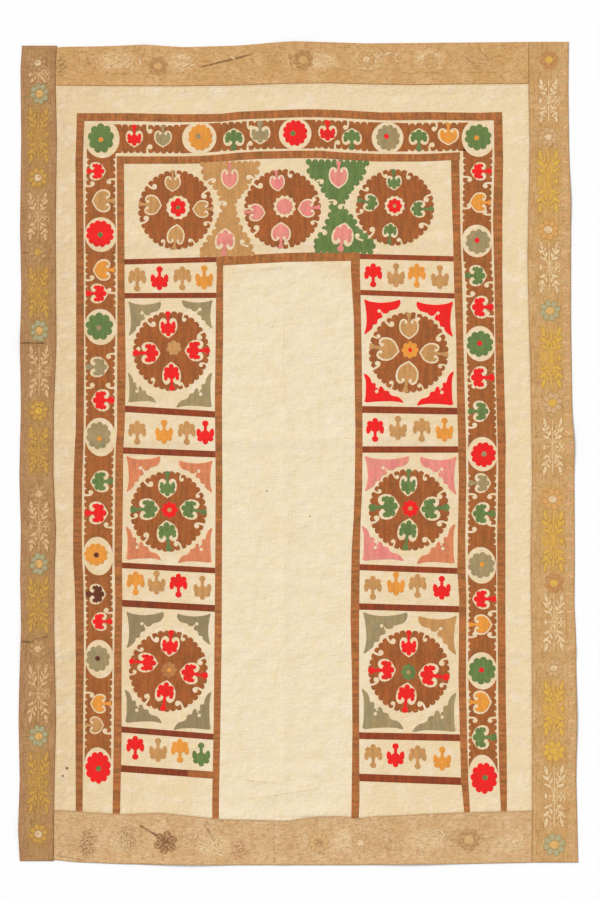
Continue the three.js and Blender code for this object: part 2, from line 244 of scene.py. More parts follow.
class Fabric:
    """A material in the making: its nodes, its colour so far, and the place on the cloth in millimetres."""

    def __init__(self, name, colour, rough, sheen=0.04):
        self.made = bpy.data.materials.new(name)
        self.made.use_nodes = True
        self.tree = self.made.node_tree
        self.colour = colour
        self.shader = self.tree.nodes["Principled BSDF"]
        self.shader.inputs["Roughness"].default_value = rough
        self.shader.inputs["Specular IOR Level"].default_value = 0.2
        self.shader.inputs["Sheen Weight"].default_value = sheen
        self.shader.inputs["Sheen Roughness"].default_value = 0.5
        place = {"Vector": self.node("ShaderNodeTexCoord", {}, {}, "Object")}
        self.x = self.node("ShaderNodeSeparateXYZ", {}, place, "X") * (1 / MM)
        self.y = self.node("ShaderNodeSeparateXYZ", {}, place, "Y") * (1 / MM)

    def node(self, kind, settings, entries, way_out):
        """A node with its settings, then its sockets' values or links. It gives one of its results."""
        node = self.tree.nodes.new(kind)
        for name, value in settings.items():
            setattr(node, name, value)
        for name, value in entries.items():
            connect(node.inputs[name], value)
        return Value(self, node.outputs[way_out])

    def maths(self, kind, *values):
        """A Math node on these values or links."""
        return self.node("ShaderNodeMath", {"operation": kind}, dict(enumerate(values)), "Value")

    def noise(self, across, down, seed, detail=3.0):
        """Uneven from 0 to 1, with spots about as many millimetres wide and tall as asked."""
        entries = {"X": self.x / across, "Y": self.y / down, "Z": seed}
        place = self.node("ShaderNodeCombineXYZ", {}, entries, "Vector")
        return self.node("ShaderNodeTexNoise", {}, {"Vector": place, "Scale": 1.0, "Detail": detail}, "Fac")

    def line(self, x0, y0, x1, y1, half):
        """1 on a line between two places and 0 off it, fading along its ends."""
        long = math.hypot(x1 - x0, y1 - y0)
        ux, uy = (x1 - x0) / long, (y1 - y0) / long
        along = self.x * ux + self.y * uy - (x0 * ux + y0 * uy)
        off = self.x * -uy + self.y * ux + (x0 * uy - y0 * ux)
        ends = abs(along - long / 2).ramp(long / 2 + half, long / 2 - 2 * half)
        return abs(off).ramp(half, 0.0) * ends

    def spot(self, x, y, wide, tall):
        """1 in the middle of an oval and 0 outside it."""
        across, along = (self.x - x) / wide, (self.y - y) / tall
        return (across * across + along * along).ramp(1.0, 0.1)

    def edge(self):
        """Millimetres in from the cloth's nearest edge."""
        return self.node("ShaderNodeAttribute", {"attribute_name": "edge_in"}, {}, "Fac")

    def mixed(self, kind, share, other):
        """The colour so far with another. A Mix node's colour sockets are known by their numbers."""
        settings = {"data_type": "RGBA", "blend_type": kind}
        self.colour = self.node("ShaderNodeMix", settings, {0: share, 6: self.colour, 7: other}, 2)

    def stain(self, share, tint):
        """Lays a share of this tint over the colour so far."""
        self.mixed("MIX", share, tint)

    def mottle(self, uneven, over, tint, under, other):
        """Stains where this noise runs high, and with another tint where it runs low.
        Each of the two has where it starts, where it is full, and its strength."""
        for (start, full, strength), stain in ((over, tint), (under, other)):
            self.stain(uneven.ramp(start, full) * strength, stain)

    def paint_crease_shade_and_strokes(self, creases, broken, shade_tint):
        """Dark lines broken up by noise: painted shade in creases, and dark strokes. Each is from x, y to x,
        y, half width and strength.
        """
        for x0, y0, x1, y1, half, share in creases:
            self.stain(self.line(x0, y0, x1, y1, half) * broken * share, shade_tint)

    def shade(self, light):
        """Makes the colour lighter or darker by a number near 1."""
        entries = {"Red": light, "Green": light, "Blue": light}
        self.mixed("MULTIPLY", 1.0, self.node("ShaderNodeCombineColor", {}, entries, "Color"))

    def finish(self, height, depth, rough=None):
        """Sets what changes over the surface: the colour, a bump in millimetres, and any roughness."""
        entries = {"Height": height, "Distance": depth * MM, "Strength": 1.0}
        connect(self.shader.inputs["Base Color"], self.colour)
        connect(self.shader.inputs["Normal"], self.node("ShaderNodeBump", {}, entries, "Normal"))
        if rough is not None:
            connect(self.shader.inputs["Roughness"], rough)
        return self.made


CREAM = dye(238, 220, 187)
CREAM_PALE = dye(244, 230, 206)
CREAM_TAN = dye(233, 207, 165)
CREAM_WORN = dye(222, 191, 147)
CREAM_GOLD = dye(233, 212, 160)
CREAM_PINK = dye(241, 222, 200)
# The colour of the painted shade in the ground's wrinkles and along its seams.
WRINKLE_SHADE = dye(204, 166, 122)
WEAVE_PITCH = 1.1
# Wrinkles painted with shade: from x, y to x, y, half width and strength.
SHADED_WRINKLES = [
    (-164, 478, -22, 493, 7, 0.45), (-37, 378, -40, 246, 3, 0.25), (-40, 246, -32, 114, 3, 0.25),
    (-32, -282, -32, -403, 3, 0.3), (-48, -532, -66, -625, 3, 0.25), (120, 40, 156, 40, 2.5, 0.4),
    (79, -535, 142, -527, 2.5, 0.4), (-201, -543, -88, -546, 3, 0.25), (10, -744, 81, -704, 5, 0.2),
    (-154, -862, -35, -873, 4, 0.5), (-140, -915, 58, -884, 4, 0.45), (-64, -915, -64, -968, 2.5, 0.3),
    (-439, -836, -439, -955, 2.5, 0.3), (-60, -958, 150, -962, 5, 0.35)]
# Dark spots: x, y and half width.
SPOT_BROWN = dye(60, 45, 35)
SPOTS = [(-610, -831, 5), (-621, -852, 4.5), (-82, -100, 3), (31, -166, 2.5)]


def weave(fabric, pitch):
    """The height of a plain weave, 0 to 1."""
    return fabric.x.wave(pitch) * fabric.y.wave(pitch) * 0.5 + 0.5


def cream_cotton():
    """The ground's cotton: palest in the middle, tanned towards the sides, with painted shade in its wrinkles
    and along its seams, and dark spots.
    """
    fabric = Fabric("cream_cotton", CREAM, 0.92)
    patches = fabric.noise(130, 170, 2.0, 5.0)
    outer = (abs(fabric.x + 29) + fabric.y.ramp(380, 620) * 300 + patches * 90).ramp(200, 330)
    left = (fabric.x * -1 + patches * 120).ramp(420, 700)
    fabric.stain(outer * 0.85, CREAM_TAN)
    fabric.stain(left * 0.6, CREAM_WORN)
    fabric.stain(patches.ramp(0.5, 0.72) * 0.35, CREAM_TAN)
    fabric.stain(fabric.noise(60, 50, 7.0, 4.0).ramp(0.5, 0.75) * 0.45, CREAM_PALE)
    # Painted shade in the wrinkles.
    fabric.paint_crease_shade_and_strokes(SHADED_WRINKLES, fabric.noise(14, 14, 8.0).ramp(0.3, 0.6), WRINKLE_SHADE)
    for x, y, half in SPOTS:
        fabric.stain(fabric.spot(x, y, half, half) * 0.85, SPOT_BROWN)
    fabric.mottle(fabric.noise(24, 30, 18.0), (0.5, 0.7, 0.4), CREAM_GOLD, (0.48, 0.3, 0.4), CREAM_PINK)
    edge = fabric.edge()
    # Painted shade along the seams.
    fabric.stain(edge.ramp(7, 1) * 0.35, WRINKLE_SHADE)
    slubs = fabric.noise(30, 3.0, 3.0, 2.0).ramp(0.3, 0.7) + fabric.noise(3.0, 30, 4.0, 2.0).ramp(0.3, 0.7)
    uneven = fabric.noise(8, 8, 12.0).ramp(0.34, 0.66)
    fabric.shade(slubs * 0.03 + uneven * 0.035 + 0.953)
    crumple = fabric.noise(46, 36, 9.0, 4.0)
    ripple = fabric.noise(15, 12, 14.0)
    puckers = fabric.noise(11, 11, 16.0, 2.0) * edge.ramp(34, 4)
    height = weave(fabric, WEAVE_PITCH) * 0.12 + slubs * 0.15 + crumple * 2.4 + ripple * 0.7 + puckers * 1.6
    return fabric.finish(height, 1.5)


def seamed_place(lower, upper):
    """Where cloth between the side strips lies.
    Its lower and upper edges are each a table, a column in it and a gap."""
    def place(u, v):
        x = SEAM_LEFT + u * (SEAM_RIGHT - SEAM_LEFT)
        bottom, top = (between(rows, x, column) + gap for rows, column, gap in (lower, upper))
        y = bottom + v * (top - bottom)
        left = between(LEFT_STRIP, y, 2) + SEAM_GAP
        right = between(RIGHT_STRIP, y, 1) - SEAM_GAP
        return left + u * (right - left), y
    return place


ground = cloth_sheet("ground", "ground_cloth", steps(SEAM_LEFT, SEAM_RIGHT, GROUND_CELL),
                     steps(SEAM_BOTTOM, SEAM_TOP, GROUND_CELL),
                     seamed_place((BOTTOM_STRIP, 2, SEAM_GAP), (TOP_STRIP, 1, -SEAM_GAP)),
                     GROUND_THICK, cream_cotton())

# The two side strips: doubled brown-tan cloth, much worn, sewn down each long edge of the ground.
# They run the whole length, and old fold lines cross them as dark breaks of painted shade.
STRIP_THICK = 2
STRIP_CELL = 10
# The colour of the painted shade in fold lines and creases, and of the end strips' dark strokes.
FOLD_SHADE = dye(84, 54, 34)
PALE_SWIRL = dye(236, 208, 162)
SWIRL_HIGH = 34
# The strips' cloth: usual, rubbed and dark colours; the dark one is also painted as shade along seams and
# hems. The end strips add theirs in their own section.
STRIP_TONES = {
    "left": (dye(174, 130, 82), dye(196, 154, 106), dye(138, 96, 56)),
    "right": (dye(201, 155, 97), dye(221, 181, 130), dye(166, 119, 68)),
}
# Ribs along x and along y: width, height, strength, and the strength of the specks between them.
RIBS = {"x": (14, 6, 0.4, 0.5), "y": (4.2, 46, 0.42, 0.4)}
WEAVE_COARSE = 1.2
SEAM_STITCH = 3.6
# Fold lines and creases painted as shade: from x, y to x, y, half width and strength.
LEFT_MARKS = [(-732, 529, -692, 529, 3, 0.6), (-735, 291, -663, 291, 4, 0.85), (-713, 19, -682, 19, 3, 0.6),
              (-732, -496, -703, -499, 5, 0.8), (-703, -499, -690, -490, 5, 0.7),
              (-690, -490, -658, -483, 4, 0.55), (-716, -180, -708, -190, 4, 0.7)]
RIGHT_MARKS = [(622, 43, 722, 43, 3, 0.35), (640, 1046, 676, 1030, 3, 0.3)]
# Where yellow thread has rubbed off on the cloth: its dye there, then x, y and height.
YELLOWED = {"left": dye(182, 136, 64), "right": dye(206, 158, 72)}
YELLOW_WIDE = 42
YELLOW_TALL = 0.66
LEFT_YELLOWED = [(-687, 840, 158), (-687, 727, 60), (-685, 425, 145), (-685, 112, 60), (-685, 9, 132),
                 (-686, -400, 158), (-685, -869, 172), (-685, -1005, 60)]
RIGHT_YELLOWED = [(660, 718, 177), (660, 590, 64), (666, 253, 172), (670, -113, 64), (672, -222, 172),
                  (675, -674, 155), (675, -786, 66)]
# The mesh has close rows at a fold line, this far from it.
FOLD_ROWS = (-9, -4.5, -2, 0, 2, 4.5, 9)


def left_margins(fabric, seed):
    """The left strip's cloth is redder along both edges, with pink and green flecks by the outer one."""
    fabric.stain(abs(fabric.x + 689).ramp(18, 44) * 0.45, dye(166, 116, 82))
    fleck = fabric.noise(5, 9, seed + 11, 2.0)
    margin = (fabric.x * -1).ramp(704, 722)
    fabric.stain(fleck.ramp(0.56, 0.66) * margin * 0.6, dye(206, 142, 122))
    fabric.stain(fleck.ramp(0.44, 0.34) * margin * 0.5, dye(150, 142, 88))


def worn_cloth(side, way, marks, seed, swirls=(), yellowed=(), stippled=(), margins=None):
    """Old stitched cloth, mottled at the size of its threads, with fold lines in painted shade, painted shade
    along its edges and pale worn swirls.
    The strip runs along x or y."""
    base, light, dark = STRIP_TONES[side]
    fabric = Fabric(f"{side}_strip", base, 0.86)
    rubbed = fabric.noise(45, 60, seed, 5.0).ramp(0.38, 0.66)
    dull = fabric.noise(13, 13, seed + 5, 4.0)
    speck = fabric.noise(3.6, 3.6, seed + 1, 2.0)
    thread = fabric.noise(14, 2.6, seed + 2, 2.0) * 0.5 + fabric.noise(2.6, 14, seed + 3, 2.0) * 0.5
    trace = abs(fabric.noise(30, 22, seed + 7, 4.0) - 0.5).ramp(0.02, 0.0)
    curl = abs(fabric.noise(24, 9, seed + 8, 2.0) - 0.5).ramp(0.06, 0.01)
    fabric.stain(rubbed * 0.6, light)
    fabric.stain(dull.ramp(0.52, 0.68) * 0.45, dark)
    fabric.stain(trace * rubbed * 0.45, dark)
    for x, y, half in swirls:
        fabric.stain(fabric.spot(x, y, half, SWIRL_HIGH) * (curl * 0.7 + 0.2), PALE_SWIRL)
    for x, y, wide, tall, share, stain in stippled:
        patch = fabric.spot(x, y, wide, tall) * fabric.noise(4, 5, seed + x).ramp(0.46, 0.58)
        fabric.stain(patch * share, dye(*stain))
    for x, y, tall in yellowed:
        fabric.stain(fabric.spot(x, y, YELLOW_WIDE, tall * YELLOW_TALL) * 0.75, YELLOWED[side])
    if margins:
        margins(fabric, seed)
    rib_wide, rib_tall, ribbed, specked = RIBS[way]
    ribs = fabric.noise(rib_wide, rib_tall, seed + 15)
    fabric.mottle(ribs, (0.52, 0.68, ribbed), dark, (0.48, 0.34, ribbed), light)
    fabric.mottle(speck, (0.54, 0.72, specked), dark, (0.46, 0.3, specked), light)
    warm = fabric.noise(19, 15, seed + 17)
    fabric.mottle(warm, (0.54, 0.68, 0.3), dye(204, 146, 104), (0.46, 0.34, 0.25), dye(186, 154, 96))
    # Painted shade along fold lines and creases, and any dark strokes.
    fabric.paint_crease_shade_and_strokes(marks, fabric.noise(9, 9, seed + 9).ramp(0.25, 0.5), FOLD_SHADE)
    fabric.shade(thread * 0.36 + 0.82)
    edge = fabric.edge()
    # Painted shade along the seams and hems.
    fabric.stain(edge.ramp(4.5, 0.5) * 0.4, dark)
    run = fabric.x if way == "x" else fabric.y
    sewn = fabric.maths("SINE", run * (math.pi / SEAM_STITCH) + edge * 0.6).ramp(0.2, 0.8)
    fabric.stain(sewn * edge.ramp(6.5, 5.0) * edge.ramp(2.0, 3.2) * 0.22, light)
    puckers = fabric.noise(12, 12, seed + 13, 2.0) * edge.ramp(26, 3)
    height = weave(fabric, WEAVE_COARSE) * 0.12 + thread * 0.4 + speck * 0.5 + dull * 1.4
    return fabric.finish(height - trace * 0.3 + puckers * 1.4, 1.2)


def side_place(rows):
    """Where a side strip's cloth lies, by its table of edges."""
    low, high = rows[0][0], rows[-1][0]

    def place(u, v):
        y = low + v * (high - low)
        left = between(rows, y, 1)
        right = between(rows, y, 2)
        return left + u * (right - left), y
    return place


side_strips = []
for side, rows, marks, yellowed, seed, margins in (
        ("left", LEFT_STRIP, LEFT_MARKS, LEFT_YELLOWED, 11.0, left_margins),
        ("right", RIGHT_STRIP, RIGHT_MARKS, RIGHT_YELLOWED, 23.0, None)):
    low, high = rows[0][0], rows[-1][0]
    folds = [y + off for _, y, _, end_y, _, _ in marks if y == end_y for off in FOLD_ROWS]
    side_strips.append(cloth_sheet(
        f"{side}_strip", f"{side}_border", steps(0, rows[0][2] - rows[0][1], STRIP_CELL),
        steps(low, high, STRIP_CELL, folds), side_place(rows), STRIP_THICK,
        worn_cloth(side, "y", marks, seed, yellowed=yellowed, margins=margins)))

# The two end strips: doubled golden-tan cloth, stained and creased, with pale traces of old stitching.
# They are sewn across the ends of the ground, between the side strips.
STRIP_TONES["top"] = (dye(206, 158, 100), dye(224, 183, 130), dye(170, 122, 70))
STRIP_TONES["bottom"] = (dye(210, 169, 118), dye(228, 194, 150), dye(172, 128, 82))
# Creases painted as shade, and dark strokes: from x, y to x, y, half width and strength.
TOP_MARKS = [(-258, 1019, -122, 1053, 4.5, 0.75), (-26, 1060, -14, 1010, 3, 0.4),
             (-560, 1050, -548, 1022, 6, 0.35), (430, 1052, 470, 1026, 3, 0.4),
             (480, 1062, 506, 1040, 3, 0.4), (-500, 1000, -300, 1003, 3, 0.2),
             (250, 1004, 560, 1006, 3, 0.2)]
BOTTOM_MARKS = [(-418, -981, -365, -1016, 4, 0.75), (-415, -962, -415, -1060, 2, 0.3),
                (-249, -975, -217, -1029, 6, 0.3), (-64, -975, -64, -1080, 2, 0.3),
                (395, -1018, 436, -1022, 3, 0.3), (470, -1018, 520, -1014, 3, 0.3),
                (146, -1000, 154, -1040, 5, 0.2), (226, -1030, 240, -1050, 5, 0.25),
                (-500, -1086, -380, -1083, 4, 0.3),
                (-640, -1060, -560, -1076, 4, 0.3)]
# Pale swirls of old stitching: x, y and half width.
TOP_SWIRLS = [(-480, 1036, 55), (-306, 1034, 45), (52, 1036, 60), (190, 1040, 50), (345, 1038, 50)]
BOTTOM_SWIRLS = [(-225, -1034, 60), (-470, -1030, 40), (335, -1018, 60), (556, -1030, 50), (120, -1020, 45)]
# Stippled dirt: x, y, half width, half height, strength and colour.
TOP_STIPPLED = [(-62, 1040, 40, 36, 0.35, (150, 100, 60)), (480, 1040, 46, 36, 0.35, (150, 104, 66)),
                (-626, 1024, 20, 34, 0.85, (110, 70, 42)), (-560, 1030, 60, 40, 0.35, (190, 132, 96))]
BOTTOM_STIPPLED = [(-555, -1030, 30, 48, 0.85, (110, 66, 40)), (-452, -1018, 34, 48, 0.7, (126, 80, 50)),
                   (-156, -1045, 26, 34, 0.8, (150, 88, 58)), (-300, -1030, 60, 40, 0.35, (140, 96, 60)),
                   (-600, -1030, 40, 46, 0.3, (140, 96, 60)), (440, -1020, 70, 40, 0.35, (140, 96, 60)),
                   (240, -1030, 50, 40, 0.3, (150, 100, 64))]
end_strips = []
for side, rows, marks, swirls, stippled, seed in (
        ("top", TOP_STRIP, TOP_MARKS, TOP_SWIRLS, TOP_STIPPLED, 31.0),
        ("bottom", BOTTOM_STRIP, BOTTOM_MARKS, BOTTOM_SWIRLS, BOTTOM_STIPPLED, 43.0)):
    end_strips.append(cloth_sheet(
        f"{side}_strip", f"{side}_border", steps(SEAM_LEFT, SEAM_RIGHT, STRIP_CELL),
        steps(0, rows[0][2] - rows[0][1], STRIP_CELL), seamed_place((rows, 1, 0), (rows, 2, 0)), STRIP_THICK,
        worn_cloth(side, "x", marks, seed, swirls=swirls, stippled=stippled)))

# The bands and crossbars: thick floss laid side by side across each band and couched down.
# Three bands run round the ground like gates, and short red-brown bars part the panels between them.
STITCH_RISE = 0.8
STITCH_ROOT = 0.3
EDGE_DRAW = 0.45
STITCH_CELL = 14
THREAD_PITCH = 1.3
COUCHING_PITCH = 4.2
# Streaks and single fibres in the floss: how long and how wide.
STREAK = (60, 8)
FIBRE = (30, 1.5)
# The top edges of a piece are this share of its rise. Outlines are parted at this share of a mesh's cell,
# and no other point of the mesh stands in the squares that an outline crosses, or next to one.
EDGE_RISE = 0.85
OUTLINE_CELL = 0.8
SQUARE = 2.5
# A corner is drawn in where its sides' inward ways add up to more than this. Edges over this angle are sharp.
LEAST_WAY = 0.3
SHARP = 0.6
# Colour as seen, second tint, and how far the streaks vary.
DYES = {
    "band": ((175, 107, 56), (160, 102, 52), 0.27), "band_dark": ((164, 100, 53), (148, 95, 49), 0.27),
    "bar": ((147, 66, 30), (132, 62, 32), 0.22), "bar_dark": ((138, 61, 27), (122, 58, 30), 0.22),
    "bar_mid": ((159, 73, 34), (142, 68, 36), 0.18), "bar_light": ((176, 102, 52), (160, 98, 50), 0.16),
    "brown": ((165, 92, 43), (154, 92, 45), 0.20), "fawn": ((190, 126, 70), (182, 116, 60), 0.12),
    "guard": ((167, 96, 45), (154, 94, 46), 0.20), "red": ((243, 30, 26), (228, 36, 30), 0.08),
    "green": ((103, 126, 66), (112, 130, 72), 0.18), "grey": ((166, 143, 99), (152, 141, 104), 0.12),
    "grey_dark": ((154, 132, 94), (146, 132, 98), 0.10),
    "tan": ((202, 148, 89), (194, 143, 86), 0.12), "orange": ((234, 153, 60), (226, 147, 58), 0.10),
    "pink": ((231, 143, 125), (234, 130, 128), 0.12), "salmon": ((220, 133, 90), (212, 128, 86), 0.14),
    "umber": ((110, 54, 28), (98, 56, 32), 0.12),
}
silks = {}


def silk(tone, lay):
    """Couched silk: streaks run along the laid threads, x or y, with small couching stitches over them."""
    if (tone, lay) in silks:
        return silks[tone, lay]
    seen, second, vary = DYES[tone]
    red, green, blue = seen
    fabric = Fabric(f"silk_{tone}_{lay}", dye(*seen), 0.62, 0.06)
    seed = 1.0 + len(silks) * 3.7
    turned = 1 if lay == "x" else -1
    cross, run = (fabric.x, fabric.y)[::turned]
    streaks = fabric.noise(*STREAK[::turned], seed).ramp(0.36, 0.64)
    fibres = fabric.noise(*FIBRE[::turned], seed + 1, 2.0)
    specks = fabric.noise(7, 7, seed + 4).ramp(0.36, 0.64)
    fleck = fabric.noise(5, 5, seed + 6, 2.0)
    strength = vary * 2.4
    fabric.stain(fabric.noise(34, 34, seed + 2).ramp(0.42, 0.68) * 0.8, dye(*second))
    fabric.mottle(fleck, (0.55, 0.68, strength), dye(red * 1.08, green * 0.84, blue * 0.9),
                  (0.45, 0.32, strength), dye(red * 0.86, green * 1.06, blue))
    fabric.shade(streaks * (vary * 1.2) + specks * (vary * 0.8) + fibres * vary + (1.0 - vary * 1.5))
    couching = abs((cross + run * 0.5).wave(COUCHING_PITCH)).ramp(0.0, 0.35)
    height = abs(run.wave(THREAD_PITCH)) * 0.5 + couching * 0.5 + fibres * 0.6
    silks[tone, lay] = fabric.finish(height, 0.35, streaks * 0.2 + 0.5)
    return silks[tone, lay]


def inside_out(points):
    """Whether an outline runs clockwise."""
    twice = sum(a[0] * b[1] - b[0] * a[1] for a, b in zip(points, points[1:] + points[:1]))
    return twice < 0


def follow(outline, longest):
    """The outline with its long sides parted, so that it can follow the folds."""
    parted = []
    for (ax, ay), (bx, by) in zip(outline, outline[1:] + outline[:1]):
        count = 1 + int(math.hypot(bx - ax, by - ay) / longest)
        parted += [(ax + (bx - ax) * i / count, ay + (by - ay) * i / count) for i in range(count)]
    return parted


def thread_map(shapes, cell):
    """Lays shapes in order, a later one over an earlier one, and parts them into triangles.
    It gives the flat points, and the triangles of each thread that shows."""
    places, outlines, crossed = [], [], set()
    for thread, outline in shapes:
        outline = follow(outline[::-1] if inside_out(outline) else outline, OUTLINE_CELL * cell)
        outlines.append(list(range(len(places), len(places) + len(outline))))
        places += outline
        crossed.update((round(x / SQUARE), round(y / SQUARE)) for x, y in follow(outline, SQUARE))
    xs, ys = zip(*places)
    left, bottom = min(xs), min(ys)
    columns = int((max(xs) - left) / cell) + 1
    rows = int((max(ys) - bottom) / cell) + 1
    for j in range(rows):
        for i in range(columns):
            x, y = left + (i + 0.5) * cell, bottom + (j + 0.5) * cell
            u, v = round(x / SQUARE), round(y / SQUARE)
            if not any((u + near, v + far) in crossed for near in (-1, 0, 1) for far in (-1, 0, 1)):
                places.append((x, y))
    cut = delaunay_2d_cdt([Vector(place) for place in places], [], outlines, 1, 0.0001)
    flat, triangles, origins = cut[0], cut[2], cut[5]
    regions = {}
    for triangle, origin in zip(triangles, origins):
        thread = shapes[max(origin)][0] if origin else None
        if thread is not None:
            regions.setdefault(thread, []).append(triangle)
    return flat, regions


def raised(name, flat, triangles, level, rise, silk_used):
    """A piece over these triangles: rooted in the cloth, with its top edges drawn in and down."""
    sides = {(t[k], t[(k + 1) % len(t)]) for t in triangles for k in range(len(t))}
    rim = [(a, b) for a, b in sides if (b, a) not in sides]
    inward = {}
    for a, b in rim:
        side = (flat[b] - flat[a]).normalized()
        for corner in (a, b):
            inward[corner] = inward.get(corner, Vector((0, 0))) + Vector((-side.y, side.x))
    used = sorted({corner for triangle in triangles for corner in triangle})
    number = {corner: i for i, corner in enumerate(used)}
    points, faces = [], []
    for corner in used:
        drawn, top = flat[corner], rise
        if corner in inward:
            way = inward[corner]
            drawn = drawn + way.normalized() * EDGE_DRAW if way.length > LEAST_WAY else drawn
            top = rise * EDGE_RISE
        points.append((drawn.x, drawn.y, level + lift(drawn.x, drawn.y) + top))
    for corner in used:
        at = flat[corner]
        points.append((at.x, at.y, level + lift(at.x, at.y) - STITCH_ROOT))
    below = len(used)
    for triangle in triangles:
        faces.append([number[corner] for corner in triangle])
        faces.append([number[corner] + below for corner in triangle[::-1]])
    for a, b in rim:
        faces.append([number[a] + below, number[b] + below, number[b], number[a]])
    piece = solid(name, points, faces, silk_used)
    piece.data.set_sharp_from_angle(angle=SHARP)
    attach(piece, "root")
    return piece


def sew(name, shapes, level, rise=STITCH_RISE, cell=STITCH_CELL, material=silk):
    """Makes one raised piece of each thread in these shapes. A shape is a thread (tone and lay) and its
    outline. Thread None leaves the cloth bare."""
    flat, regions = thread_map(shapes, cell)
    return [raised(f"{name}_{tone}_{lay}", flat, triangles, level, rise, material(tone, lay))
            for (tone, lay), triangles in regions.items()]


# Each gate: its bar's width, the bar's upper edge, and its two legs' edges as height, left x and right x.
GATES = [
    (21, [(-584, 898), (-523, 898), (-444, 898), (-365, 896), (-312, 895), (-206, 896), (-153, 902),
          (-101, 904), (-48, 906), (5, 908), (58, 908), (110, 906), (163, 903), (216, 900), (269, 900),
          (348, 901), (401, 900), (480, 899), (538, 901)],
     [(-940, -587, -569), (-651, -588, -567), (-546, -587, -565), (-387, -589, -566), (-334, -591, -567),
      (-282, -594, -570), (-202, -594, -571), (-70, -593, -570), (9, -590, -567), (61, -587, -566),
      (220, -586, -565), (563, -586, -566), (774, -588, -568), (892, -584, -564)],
     [(-947, 535, 551), (-862, 531, 551), (-757, 529, 550), (-651, 528, 548), (-440, 526, 547),
      (-229, 525, 547), (-44, 528, 547), (35, 526, 548), (141, 523, 545), (299, 520, 541), (457, 518, 539),
      (616, 514, 539), (774, 518, 541), (892, 516, 539)]),
    (20, [(-479, 784), (-312, 784), (-259, 785), (-206, 789), (-153, 794), (-101, 797), (5, 799), (58, 799),
          (110, 795), (163, 792), (216, 790), (322, 790), (374, 792), (427, 795)],
     [(-940, -490, -470), (-757, -487, -466), (-546, -486, -466), (-387, -483, -464), (-282, -485, -465),
      (-70, -483, -462), (9, -482, -462), (61, -478, -458), (220, -478, -455), (431, -477, -458),
      (669, -478, -459), (776, -479, -460)],
     [(-947, 438, 454), (-862, 430, 449), (-757, 427, 446), (-598, 423, 443), (-387, 425, 444),
      (-308, 420, 442), (-229, 421, 441), (-70, 424, 444), (35, 422, 443), (141, 419, 440), (299, 417, 436),
      (457, 411, 433), (563, 409, 429), (669, 405, 427), (788, 403, 425)]),
    (24, [(-216, 519), (-198, 520), (-29, 529), (140, 532), (162, 532)],
     [(-960, -227, -209), (-915, -227, -209), (-704, -223, -205), (-493, -221, -202), (-282, -219, -201),
      (-70, -218, -200), (141, -220, -201), (299, -218, -198), (405, -217, -198), (510, -214, -198)],
     [(-964, 140, 160), (-915, 141, 162), (-730, 143, 161), (-598, 142, 161), (-440, 138, 161),
      (-255, 141, 163), (-176, 146, 165), (-97, 149, 169), (61, 151, 170), (246, 148, 168), (352, 147, 166),
      (484, 139, 163), (524, 139, 163)]),
]
# The crossbars of each column: height at the left end, height at the right end, width and dye.
CROSSBARS_LEFT = [
    (505, 512, 14, "bar"), (416, 417, 14, "bar"), (118, 102, 17, "bar"), (8, -3, 17, "bar"),
    (-295, -310, 15, "bar_dark"), (-395, -410, 18, "bar_dark"), (-728, -749, 16, "bar_dark"),
    (-831, -850, 18, "bar_dark")]
CROSSBARS_RIGHT = [
    (520, 513, 14, "bar_mid"), (425, 415, 14, "bar_mid"), (116, 111, 18, "bar"), (10, 10, 17, "bar"),
    (-300, -311, 16, "bar"), (-404, -412, 17, "bar"), (-745, -751, 18, "bar"), (-855, -866, 20, "bar")]
# The lowest left crossbar ends in a lighter piece.
LIGHTER_END = [(-290, -854), (-217, -859), (-217, -841), (-290, -836)]
# Legs stop short of the bottom strip by this much, and the leg left of this is dyed darker.
LEG_CLEAR = 1.5
DARK_LEG = -500


def leg_middle(leg, y):
    """The middle of a gate's leg at this height."""
    return (between(leg, y, 1) + between(leg, y, 2)) / 2


band_shapes = []
for bars, from_leg, to_leg in ((CROSSBARS_LEFT, GATES[1][2], GATES[2][2]),
                               (CROSSBARS_RIGHT, GATES[2][3], GATES[1][3])):
    for one, other, wide, tone in bars:
        start = leg_middle(from_leg, one)
        stop = leg_middle(to_leg, other)
        half = wide / 2
        outline = [(start, one - half), (stop, other - half), (stop, other + half), (start, one + half)]
        band_shapes.append(((tone, "y"), outline))
band_shapes.append((("bar_light", "y"), LIGHTER_END))
for bar, top, left, right in GATES:
    for leg in (left, right):
        low, high = leg[0][1:]
        leg = [(between(BOTTOM_STRIP, (low + high) / 2, 2) + LEG_CLEAR, low, high)] + leg[1:]
        outline = [(x, y) for y, x, _ in leg] + [(x, y) for y, _, x in leg[::-1]]
        band_shapes.append((("band_dark" if low < DARK_LEG else "band", "x"), outline))
    outline = [(x, y - bar) for x, y in top] + top[::-1]
    band_shapes.append((("band", "y"), outline))
stitching = sew("bands", band_shapes, GROUND_THICK)

# The guard border: scalloped cartouches between open rounds that each hold a rosette.
# The cartouches are laid floss with bare hooks, and palmettes in bare ogees whose stems reach an edge.
LOBE = 9.6
LOBE_PITCH = 17.2
HORN_REACH = 52
# Along a cartouche: how far its lobes start from a horn, how far a horn slopes back, and how far its points
# are apart.
LOBE_START = 3
HORN_SLOPE = 6
STATION = 15
# The notch between two lobes: half its width and its depth.
NOTCH_HALF = 2.4
NOTCH_DEEP = 7.4
